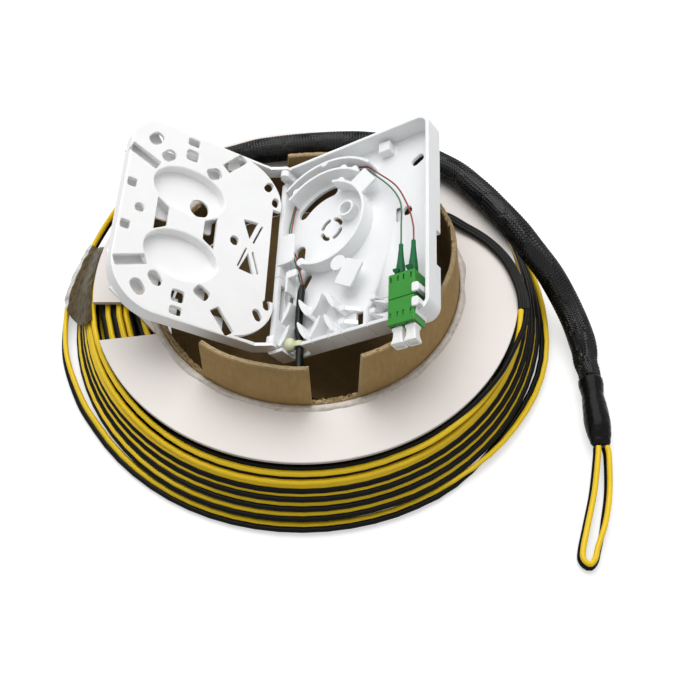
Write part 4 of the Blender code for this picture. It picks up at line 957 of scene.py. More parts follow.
def braid_tree(material):
    """Node tree that lays crossing strands round a path; each strand goes over and under in turn."""
    tree = bpy.data.node_groups.new("braid", 'GeometryNodeTree')
    face = tree.interface
    face.new_socket("Geometry", in_out='INPUT', socket_type='NodeSocketGeometry')
    sizes = {}
    for name, kind in (("Strands", "Int"), ("Rounds", "Float"), ("Points", "Int"), ("Radius", "Float"),
                       ("Strand", "Float"), ("Weave", "Float")):
        sizes[name] = face.new_socket(name, in_out='INPUT', socket_type='NodeSocket' + kind)
    face.new_socket("Geometry", in_out='OUTPUT', socket_type='NodeSocketGeometry')
    given = put(tree, "NodeGroupInput").outputs

    def sums(operation, *values):
        return put(tree, "ShaderNodeMath", dict(enumerate(values)), operation=operation).outputs[0]

    def steps(operation, *values, scale=None):
        node = put(tree, "ShaderNodeVectorMath", dict(enumerate(values)), operation=operation)
        if scale is not None:
            tree.links.new(scale, node.inputs["Scale"])
        return node.outputs[0]

    strands = sums('MULTIPLY', given["Strands"], 2.0)
    seeds = put(tree, "GeometryNodeMeshLine", {"Count": strands})
    single = put(tree, "GeometryNodeCurvePrimitiveLine")
    fine = put(tree, "GeometryNodeResampleCurve", {"Curve": single.outputs["Curve"], "Count": given["Points"]})
    copies = put(tree, "GeometryNodeInstanceOnPoints",
                 {"Points": seeds.outputs["Mesh"], "Instance": fine.outputs["Curve"]})
    lines = put(tree, "GeometryNodeRealizeInstances", {"Geometry": copies.outputs["Instances"]})

    number = put(tree, "GeometryNodeCurveOfPoint").outputs["Curve Index"]
    part = put(tree, "GeometryNodeSplineParameter").outputs["Factor"]
    odd = sums('MODULO', number, 2.0)
    way = sums('SUBTRACT', sums('MULTIPLY', odd, 2.0), 1.0)
    first = sums('DIVIDE', sums('FLOOR', sums('DIVIDE', number, 2.0)), given["Strands"])
    turned = sums('ADD', first, sums('MULTIPLY', sums('MULTIPLY', way, part), given["Rounds"]))
    angle = sums('MULTIPLY', turned, 2 * math.pi)
    crossing = sums('MULTIPLY', sums('MULTIPLY', part, given["Rounds"]), given["Strands"])
    over = sums('MULTIPLY', sums('COSINE', sums('MULTIPLY', crossing, 2 * math.pi)), way)

    size = put(tree, "GeometryNodeInputRadius")
    path = put(tree, "GeometryNodeSampleCurve",
               {"Curves": given["Geometry"], "Value": size.outputs[0], "Factor": part},
               mode='FACTOR', use_all_curves=True, data_type='FLOAT')
    flat = path.outputs["Normal"]
    bent = steps('CROSS_PRODUCT', path.outputs["Tangent"], flat)
    away = sums('ADD', sums('MULTIPLY', path.outputs["Value"], given["Radius"]),
                sums('MULTIPLY', over, given["Weave"]))
    ring = steps('ADD', steps('SCALE', flat, scale=sums('COSINE', angle)),
                 steps('SCALE', bent, scale=sums('SINE', angle)))
    spot = steps('ADD', path.outputs["Position"], steps('SCALE', ring, scale=away))
    laid = put(tree, "GeometryNodeSetPosition", {"Geometry": lines.outputs["Geometry"], "Position": spot})
    thread = put(tree, "GeometryNodeCurvePrimitiveCircle",
                 {"Resolution": 4, "Radius": sums('MULTIPLY', given["Strand"], 0.5)})
    skin = put(tree, "GeometryNodeCurveToMesh", {"Curve": laid.outputs["Geometry"],
                                                 "Profile Curve": thread.outputs["Curve"], "Fill Caps": True})
    even_skin = put(tree, "GeometryNodeSetShadeSmooth", {"Geometry": skin.outputs["Mesh"]})
    whole = put(tree, "GeometryNodeRealizeInstances", {"Geometry": even_skin.outputs["Geometry"]})
    dyed = put(tree, "GeometryNodeSetMaterial", {"Geometry": whole.outputs["Geometry"], "Material": material})
    put(tree, "NodeGroupOutput", {"Geometry": dyed.outputs["Geometry"]})
    return tree, {name: socket.identifier for name, socket in sizes.items()}


class OUTLET_OT_sleeve(bpy.types.Operator):
    """Braid the pulling sleeve over its path and shrink the tube on its end"""
    bl_idname = "outlet.sleeve"
    bl_label = "Pulling sleeve"

    def execute(self, context):
        look = context.scene.sleeve_look
        points = smooth(SLEEVE_ROUTE, 0.0022)
        total = len(points) - 1
        scales = []
        for i in range(total + 1):
            opening = 0.62 + 0.38 * ease(i, 0, total * 0.09)
            closing = 1.0 - 0.24 * ease(i, total * 0.91, total)
            bumps = 1.0 + 0.022 * noise.noise(points[i] * 45.0)
            scales.append(opening * closing * bumps)
        # The tube under the braid stands for the sleeve's body. Made at half the braid's colour, it is painted
        # shade of the sleeve's inside.
        under = look.diameter / 2 - 0.0010
        liner = swept(points, None, circle(0.0, 0.0, under, 36), None, scales)
        dark = moulded("sleeve_shade_core", shade(look.braid, 0.5), 0.7, 300.0, 0.3, 2600.0, 0.05, 0.00008, 0.1)
        piece = publish("pulling_sleeve_shade_core", liner, [dark], ["pull_sleeve"], sharp_deg=70.0)

        curve = bpy.data.curves.new("sleeve_path", 'CURVE')
        curve.dimensions = '3D'
        spline = curve.splines.new('POLY')
        spline.points.add(total)
        for i, point in enumerate(points):
            spline.points[i].co = (point.x, point.y, point.z, 1.0)
            spline.points[i].radius = scales[i]
        holder = bpy.data.objects.new("sleeve_path", curve)
        context.collection.objects.link(holder)
        made = yarn("braid_yarn", look.braid)
        tree, sockets = braid_tree(made)
        step = holder.modifiers.new("Braid", 'NODES')
        step.node_group = tree
        cycles = round(line_length(points) / look.lay * look.strands)
        for name, value in (("Strands", look.strands), ("Rounds", cycles / look.strands),
                            ("Points", 2 * cycles + 1), ("Radius", look.diameter / 2 - 0.0007),
                            ("Strand", look.strand), ("Weave", 0.00042)):
            step[sockets[name]] = value
        mesh = plain_mesh(holder)
        if len(mesh.polygons) == 0:
            raise RuntimeError("the braid came out empty")
        publish("pulling_sleeve_braid", mesh, [made], [], sharp_deg=80.0)

        # The heat-shrink: share of its length, and of its radius there.
        profile = ((0.0, 0.90), (0.04, 0.965), (0.10, 0.97), (0.18, 0.90), (0.26, 0.84), (0.34, 0.88),
                   (0.42, 0.94), (0.62, 1.0), (0.76, 0.955), (0.82, 0.91), (0.94, 0.78), (1.0, 0.64))
        radius = 0.0059
        last = 60
        around = 44
        rings = []
        for i in range(last + 1):
            part = i / last
            for (a, first), (b, second) in zip(profile, profile[1:]):
                if a <= part <= b:
                    size = first + (second - first) * ease(part, a, b)
            if i in (0, last):
                size -= 0.05
            squeeze = 1.0 - 0.34 * ease(part, 0.70, 1.0)
            centre = SHRINK_START + Vector((0.0, -SHRINK_LENGTH * part, -0.0010 * part))
            ring = []
            for k in range(around):
                a = 2 * math.pi * k / around
                spot = Vector((math.cos(a) * 3, part * 9, math.sin(a) * 3))
                wrinkle = 1.0 + 0.030 * noise.noise(spot) + 0.014 * noise.noise(spot * 2.7)
                out = radius * size * wrinkle
                ring.append(centre + Vector((out * math.cos(a), 0.0, out * math.sin(a) * squeeze)))
            rings.append(ring)
        glossy = moulded("heat_shrink", look.shrink, 0.26, 260.0, 0.25, 900.0, 0.10, 0.0002, 0.10)
        publish("heat_shrink_tube", lofted(rings), [glossy], ["sleeve_heat_shrink"],
                sharp_deg=60.0)
        return {'FINISHED'}


def board_ring(section, step_deg):
    """Upright ring of board; its section, radius by height, is a rule of the angle."""
    mesh = bmesh.new()
    count = round(360.0 / step_deg)
    rings = []
    for i in range(count):
        angle = i * 360.0 / count
        rings.append([mesh.verts.new(polar(radius, angle, level)) for radius, level in section(angle)])
    size = len(rings[0])
    for i in range(count):
        near = rings[i]
        far = rings[(i + 1) % count]
        for k in range(size):
            m = (k + 1) % size
            mesh.faces.new((near[k], near[m], far[m], far[k]))
    return closed(mesh)


class OUTLET_OT_reel(bpy.types.Operator):
    """Build the two flanges and the torn core of kraft board"""
    bl_idname = "outlet.reel"
    bl_label = "Board reel"

    def execute(self, context):
        look = context.scene.reel_look
        white = board("board_white", look.white, shade(look.white, 0.97), 0.60, 900.0, 0.04, 0.05)
        raw = board("board_raw_edge", look.raw, shade(look.raw, 0.7), 0.85, 2200.0, 0.4, 0.6)
        glue = moulded("dried_glue", look.glue, 0.30, 260.0, 0.22, 700.0, 0.5, 0.0004)
        hole = look.core + GAP
        below = look.height - look.thickness
        for name, node, low, high, lip in (("flange_lower", "reel_lower_flange", 0.0, look.thickness, 0.0),
                                           ("flange_upper", "reel_upper_flange", below, look.height, 0.0009)):
            mesh = self.flange(look, hole, low, high, lip)
            if lip:
                far = look.radius + 0.003
                inner = hole + 0.0031
                notch = prism([(-far, -0.0154), (-0.0835, -0.0154), (-inner * 0.894, -inner * 0.448),
                               (-0.095, -0.0376), (-far, -0.038)], low - 0.002, high + 0.003)
                mesh = combine(mesh, [notch], 'DIFFERENCE')
            for face in mesh.polygons:
                away = face.center.xy.length
                face.material_index = 0 if abs(face.normal.z) > 0.4 else 1
                if lip and away < hole + 0.0042 and face.center.z > high + 0.00005:
                    face.material_index = 2
            publish(name, mesh, [white, raw, glue], [node], sharp_deg=40.0, flat_faces=True)
        self.core(look)
        return {'FINISHED'}

    def flange(self, look, hole, low, high, lip):
        """Slightly uneven board ring; round the hole of the upper one stands a bead of glue."""
        edge = 0.00025
        rim = look.radius
        bead = ((1.0, 0.0), (0.85, 0.55), (0.5, 1.0), (0.2, 0.85), (0.0, 0.5))

        def section(angle):
            way = polar(1.0, angle, 0.0)
            warp = 0.00018 * noise.noise(way * 1.7 + Vector((low * 90, 0.0, 3.0))) if lip else 0.0
            profile = [(hole, low), (rim - edge, low + warp), (rim, low + edge + warp),
                       (rim, high - edge + warp), (rim - edge, high + warp),
                       (rim - 0.008, high + warp * 0.8), (hole + 0.012, high + warp * 0.3)]
            if not lip:
                return profile + [(hole, high)]
            wide = 0.0030 + 0.0010 * noise.noise(way * 6.0) + 0.0004 * noise.noise(way * 17.0)
            tall = lip * (1.0 + 0.40 * noise.noise(way * 9.0 + Vector((5.0, 0.0, 0.0)))
                          + 0.2 * noise.noise(way * 23.0))
            return profile + [(hole + wide * a, high + tall * b) for a, b in bead]

        return board_ring(section, 1.5)

    def core(self, look):
        """Board tube with its tabs cut where the outlet, its plugs and the tray lie on it; its inner faces and
        the floor carry painted shade.
        """
        kraft = board("kraft_liner", look.kraft, shade(look.kraft, 0.80), 0.82, 700.0, 0.30, 0.55)
        torn = board("kraft_torn", look.torn, shade(look.torn, 0.72), 0.9, 1800.0, 0.9, 0.85)
        top = look.height
        front = top + 0.027
        # Each tab and gap: angles, heights at its two ends, and how ragged its edge is.
        sectors = ((-127.5, -87.5, front - 0.0012, front, 0.6), (-87.5, -69.8, top + 0.0012, top + 0.0012, 2.4),
                   (-69.8, -8.0, 0.0597, 0.0597, 0.8), (-8.0, 24.0, 0.0597, 0.0515, 2.0),
                   (24.0, 80.0, top + 0.0020, top + 0.0020, 2.2), (80.0, 99.0, top + 0.013, top + 0.0118, 0.8),
                   (99.0, 160.0, top + 0.0016, top + 0.0016, 2.2), (160.0, 205.0, 0.0632, 0.0632, 0.8),
                   (205.0, 232.5, top + 0.0028, top + 0.0010, 3.4))
        outer = look.core
        inner = look.core - look.wall

        def height(angle):
            for start, end, first, last, ragged in sectors:
                turn = (angle - start) % 360.0
                if turn < end - start:
                    return first + (last - first) * turn / (end - start), ragged
            return top, 1.0

        def section(angle):
            level, ragged = height(angle)
            lean = 0.0036 * ease(math.cos(math.radians(angle + 4.0)), 0.72, 0.97) * ease(level, top, 0.055)
            lean += 0.0007 * noise.noise(Vector((angle * 0.06, 2.0, 7.0))) * ease(level, top, 0.05)
            rough = []
            for k in range(6):
                rough.append(ragged * (0.0005 * noise.noise(Vector((angle * 0.9, k * 0.9, 1.0)))
                                       + 0.0005 * noise.noise(Vector((angle * 3.3, k * 5.3, 4.0)))) - 0.0003)
            foot = min(top + 0.0008, level - 0.0030)
            near = outer - lean
            back = inner - lean
            edges = [(near, level - 0.0007 + rough[0]), (near - 0.0005, level + rough[1]),
                     (near - 0.0010, level - 0.0003 + rough[2]), (back + 0.0010, level + rough[3]),
                     (back + 0.0005, level + rough[4]), (back, level - 0.0008 + rough[5])]
            return [(inner, 0.0), (outer, 0.0), (outer, foot)] + edges + [(inner, foot)]

        # Room for the base, for the plugs at its front and for the tray.
        wide = 0.004
        plugs = 0.0064 + 0.0015
        over_base = box(-wide, BASE_WIDTH + GAP, -GAP, BASE_HEIGHT + wide, -GAP, 0.05)
        over_plugs = box(ADAPTER_U - plugs, ADAPTER_U + plugs, -0.035, 0.001, ADAPTER_LIFT - 2 * GAP, 0.05)
        over_tray = box(-0.0040, 0.0785, -0.0514, 0.0514, -0.06, 0.0093)
        mesh = combine(board_ring(section, 0.6), [over_base, over_plugs], 'DIFFERENCE', OUTLET)
        mesh = combine(mesh, [over_tray], 'DIFFERENCE', TRAY)
        for face in mesh.polygons:
            side = Vector((-face.center.y, face.center.x, 0.0)).normalized()
            bare = face.normal.z > 0.35 or abs(face.normal.dot(side)) > 0.6
            face.material_index = 1 if bare and face.center.z > 0.02 else 0
            # Faces in the tube that look towards the axis take a darker copy of the kraft: painted shade inside
            # the core.
            if not bare and face.normal.dot(face.center) < 0.0 and face.center.xy.length < look.core - 0.0008:
                face.material_index = 2
        # The same kraft at about half its brightness, as painted shade.
        inside = board("kraft_painted_shade", shade(look.kraft, 0.55), shade(look.kraft, 0.42), 0.85,
                       700.0, 0.30, 0.55)
        publish("reel_core_board", mesh, [kraft, torn, inside], ["reel_core"], sharp_deg=50.0)
        # The core's floor takes the painted-shade kraft as well.
        repaint("core_floor", inside)


class OUTLET_OT_tape(bpy.types.Operator):
    """Lay the clear tape over the shoulder of the coil"""
    bl_idname = "outlet.tape"
    bl_label = "Clear tape"

    def execute(self, context):
        # Radius and height of the tape from its upper edge to its lower one.
        skin = [(0.1014, 0.0270), (0.1050, 0.0234), (0.1094, 0.0176), (0.1140, 0.0120), (0.1182, 0.0090),
                (0.1220, 0.0056), (0.1232, 0.0040)]
        line = smooth([(radius, level, 0.0) for radius, level in skin], 0.0011)
        mesh = bmesh.new()
        rings = []
        columns = 64
        last = len(line) - 1
        for i in range(columns + 1):
            part = i / columns
            ring = []
            for k, point in enumerate(line):
                out = k / last
                start = 168.0 - 9.0 * out
                angle = start + (193.0 - 17.0 * out * out - start) * part
                lift = 0.00045 * noise.noise(Vector((angle * 0.45, k * 0.35, 0.0)))
                place = polar(point.x + lift + settle(point.x, angle), angle, point.y + lift)
                if k == last:
                    place *= 1.0 - 0.0035 * (i % 2)
                ring.append(mesh.verts.new(place))
            rings.append(ring)
        for near, far in zip(rings, rings[1:]):
            for k in range(last):
                face = mesh.faces.new((near[k], near[k + 1], far[k + 1], far[k]))
                face.material_index = 1 if k > last * 0.80 else 0
        bmesh.ops.recalc_face_normals(mesh, faces=mesh.faces[:])
        data = bpy.data.meshes.new("tape")
        mesh.to_mesh(data)
        mesh.free()
        holder = bpy.data.objects.new("tape", data)
        context.collection.objects.link(holder)
        thick = holder.modifiers.new("Film", 'SOLIDIFY')
        thick.thickness = 0.00012
        thick.offset = 0.0
        finishes = [film("tape_film", (0.088, 0.062, 0.021), 0.90), film("tape_edge", (0.80, 0.78, 0.73), 0.80)]
        publish("coil_tape_film", plain_mesh(holder), finishes, ["coil_tape"])
        return {'FINISHED'}


class OUTLET_OT_base(bpy.types.Operator):
    """Mould the outlet's base with its fibre guides"""
    bl_idname = "outlet.base"
    bl_label = "Outlet base"

    def execute(self, context):
        look = context.scene.outlet_look
        over = look.rim + 0.002
        body, hollows = self.shell(look, over)
        body = combine(body, hollows, 'DIFFERENCE')
        body = combine(body, self.guides(look), 'UNION')
        body = combine(body, self.openings(look, over), 'DIFFERENCE')
        made = moulded("base_plastic", look.white, 0.36, 90.0, 0.015, 3200.0, 0.05)
        publish("base_moulding", placed(body, OUTLET), [made], ["outlet_base"],
                sharp_deg=34.0, flat_faces=True)
        return {'FINISHED'}

    def shell(self, look, over):
        """The outer block, and what is cut from it to leave the floor and the walls."""
        width, height, wall, floor, e = look.width, look.height, look.wall, look.floor, look.easing
        outside = -0.002
        through = wall + 0.001
        block = prism(rounded(0.0, 0.0, width, height, (0.002, BASE_CORNER, BASE_CORNER, 0.002), 8),
                      0.0, look.rim, "Z", e * 1.4, 0.0009)
        inside = BASE_CORNER - wall
        room = prism(rounded(wall, wall, width - wall, height - wall, (0.0006, inside, inside, 0.0006), 8),
                     floor, look.rim, "Z", -e)
        lid = prism(rounded(wall - e, wall - e, width - wall + e, height - wall + e,
                            (0.0006, inside + e, inside + e, 0.0006), 8), look.rim - 0.00001, over)
        spine = box(outside, through, wall, height - wall, 0.0090, over)
        inlet = prism(rounded(0.0085, floor + 0.0004, 0.0185, over, (0.0015, 0.0015, 0.0, 0.0)),
                      outside, through, "Y")
        mouth = box(ADAPTER_U - 0.0067, ADAPTER_U + 0.0067, outside, through, ADAPTER_LIFT - GAP, over)
        grip = box(width - wall - 0.001, width + 0.002, 0.025, 0.043, outside, 0.0042)
        return block, [room, lid, spine, inlet, mouth, grip]

    def guides(self, look):
        """What stands on the floor: arcs, keepers, barbs, the adapter's cradle and the hinge's ears."""
        height, e = look.height, look.easing
        seat = look.floor * 0.5
        u, v = SPOOL
        adds = []

        def add(outline, high, low=seat, top=e):
            adds.append(prism(outline, low, high, "Z", top))

        add(arc_strip(u, v, SPOOL_RADIUS, ARC_WALL, -118, 78, 56), RIB_TOP)
        add(arc_strip(u, v, MID_ARC, ARC_WALL, 50, 135, 28), RIB_TOP - 0.0001)
        add(arc_strip(u, v, OUTER_ARC, ARC_WALL, 47, 131, 28), RIB_TOP - 0.0002)
        # Half-round keepers on the arcs: angle, arc, and whether they reach outwards or inwards.
        for angle, radius, way in ((126, MID_ARC, 1), (92, OUTER_ARC, -1), (70, MID_ARC, 1), (56, MID_ARC, 1),
                                   (66, SPOOL_RADIUS, 1)):
            near = radius - ARC_WALL / 2
            x = u + near * math.cos(math.radians(angle))
            y = v + near * math.sin(math.radians(angle))
            half = moved(arc(0.0, 0.0, 0.0021, -90, 90, 12), x, y, angle if way > 0 else angle + 180)
            add(half, RIB_TOP - 0.0003, RIB_TOP - 0.0013, e * 0.7)
        # Keeper plates: place, size and turn.
        ear = math.radians(36)
        ear_u = u + 0.0267 * math.cos(ear)
        ear_v = v + 0.0267 * math.sin(ear)
        for x, y, long, wide, turn in ((0.0412, 0.0319, 0.0132, 0.0102, 61), (ear_u, ear_v, 0.0095, 0.0110, 36)):
            add(turned_box(x, y, long, wide, turn, 0.0010), RIB_TOP - 0.0004, RIB_TOP - 0.0016)
        add(circle(0.0352, 0.0388, 0.0040, 24), RIB_TOP - 0.00035, RIB_TOP - 0.0015)
        add(turned_box(0.0396, 0.0330, 0.0110, 0.0014, 61), RIB_TOP - 0.0010, top=0.0)
        low = v - 0.0165
        adds.append(box(0.0, 0.0016, low, low + 0.0165, seat, RIB_TOP - 0.0005, e))
        add(rounded(0.0005, low, 0.0090, low + 0.0165, (0, 0.002, 0.002, 0)),
            RIB_TOP - 0.00045, RIB_TOP - 0.0018)
        add(circle(0.0136, 0.0466, 0.0021, 24), RIB_TOP - 0.0006)
        add(circle(u + 0.0105, v + 0.006, 0.0043, 36), 0.0068)
        # Barbs that grip the cable, in two rows.
        for row in (0.0139, 0.0257):
            for tip, heel in ((0.0096, 0.0052), (0.0143, 0.0193), (0.0266, 0.0217), (0.0289, 0.0339)):
                add(leaf(tip, row, heel, row - 0.0096, 0.0023), RIB_TOP - 0.0008, top=e * 0.5)
        # Cradle of the adapter with its hooks at the right, and the comb at its left.
        left = ADAPTER_U - 0.0064
        right = ADAPTER_U + 0.0064
        for at in (0.0050, 0.0175):
            add(oblong(left + 0.0005, at, right - 0.0005, at + 0.0016), ADAPTER_LIFT - GAP)
        for at in (0.0004, 0.0074):
            add(oblong(right + GAP, at + 0.0010, right + 0.0026, at + 0.0038), 0.0146)
            add(oblong(right - 0.0008, at, right + 0.0024, at + 0.0044, 0.0009), 0.0152, 0.0142)
        add(oblong(left - 0.0022, 0.0060, left - GAP, 0.0165), 0.0075)
        for at in (0.0078, 0.0146):
            add(turned_box(left - 0.0088, at, 0.0092, 0.0020, -26), 0.0054)
            add(oblong(left - 0.0140, at + 0.0012, left - 0.0113, at + 0.0036), 0.0066)
            add(oblong(left - 0.0066, at - 0.0034, left - 0.0032, at - 0.0010), 0.0072)
            wedge = [(0.0375, seat), (0.0375, 0.0062), (0.0440, seat)]
            adds.append(prism(wedge, at + 0.0006, at + 0.0026, "Y"))
            add(oblong(0.0349, at + 0.0002, 0.0379, at + 0.0030), 0.0066)
        # Latch block at the top, and the clip beside the spool.
        add(oblong(0.0535, height - 0.0090, 0.0595, height - 0.0035), 0.0066)
        add(oblong(0.0610, v - 0.0086, 0.0634, v - 0.0010), 0.0064)
        add(turned_box(0.0620, v + 0.0002, 0.0084, 0.0030, -37, 0.0006), 0.0068, 0.0054)
        # Ears of the hinge, the wall between them, and the keeper beside it.
        for low in (height - 0.0074, 0.0040):
            adds.append(box(0.0004, HINGE_U + 0.0022, low + 0.00002, low + 0.00338, seat, HINGE_N))
            adds.append(prism(circle(HINGE_U, HINGE_N, 0.0023, 32), low, low + 0.0034, "Y", e, e))
        adds.append(box(-0.0012, 0.0006, 0.0080, height - 0.0080, 0.0, 0.0091, e))
        add(rounded(0.0050, 0.0330, 0.0064, 0.0440, (0.0005,) * 4), RIB_TOP - 0.0014)
        add(rounded(0.0052, 0.0405, 0.0112, 0.0445, (0.0012,) * 4), RIB_TOP - 0.0015, RIB_TOP - 0.0030)
        return adds

    def openings(self, look, over):
        """Holes in the hinge wall and the floor, break-out lines in the front wall, and pin holes."""
        width, height, wall, floor = look.width, look.height, look.wall, look.floor
        u, v = SPOOL
        cuts = [box(-0.003, wall + 0.0004, 0.0200, 0.0385, 0.0036, 0.0072),
                box(-0.003, wall + 0.0004, 0.0424, 0.0427, 0.0030, 0.012)]
        holes = [arc_strip(u, v, 0.0261, 0.0054, 92, 139, 24), slot(0.0072, v - 0.0105, 0.0140, 0.0056, 86),
                 slot(0.0118, 0.0400, 0.0090, 0.0040, 60), slot(0.0040, 0.0310, 0.0150, 0.0018, 90),
                 slot(width - 0.0111, height - 0.0172, 0.0070, 0.0040, 30),
                 circle(width - 0.0163, v - 0.0040, 0.0024, 28), oblong(0.0410, 0.0077, 0.0447, 0.0147, 0.0004)]
        for start in (18, 108, 198, 288):
            holes.append(arc_strip(u - 0.0005, v + 0.0008, 0.0064, 0.0020, start, start + 52, 12))
        for hole in holes:
            cuts.append(prism(hole, -0.002, floor + 0.0004))
            cuts.append(prism(drawn_in(hole, -0.0002), floor - 0.0002, floor + 0.0004))
        cuts.append(prism(circle(u + 0.0105, v + 0.006, 0.0033, 28), floor, 0.0080))
        # Lines of the break-outs: a U and a square, half a line's width to each side.
        thin = 0.00024
        sides = (0.0245, 0.0331, 0.0400, 0.0530)
        u_turn = [(sides[0], over)] + arc(0.0288, 0.0058, 0.0043, 180, 360, 24) + [(sides[1], over)]
        square = [(sides[2], over), (sides[2], 0.0012), (sides[3], 0.0012), (sides[3], over)]
        for path in (u_turn, square):
            loop = path + [(path[-1][0], over + 0.001), (path[0][0], over + 0.001)]
            strip = drawn_in(loop, -thin)[:len(path)] + drawn_in(loop, thin)[:len(path)][::-1]
            cuts.append(prism(strip, -0.001, 0.0004, "Y"))
        for at in sides:
            cuts.append(box(at - 0.0003, at + 0.0003, -0.001, wall + 0.001, look.rim - 0.0010, over))
        for low in (height - 0.0067, 0.0030):
            cuts.append(prism(circle(HINGE_U, HINGE_N, 0.0017, 24), low, low + 0.0037, "Y"))
        return cuts


def from_hinge(u):
    return u - HINGE_U


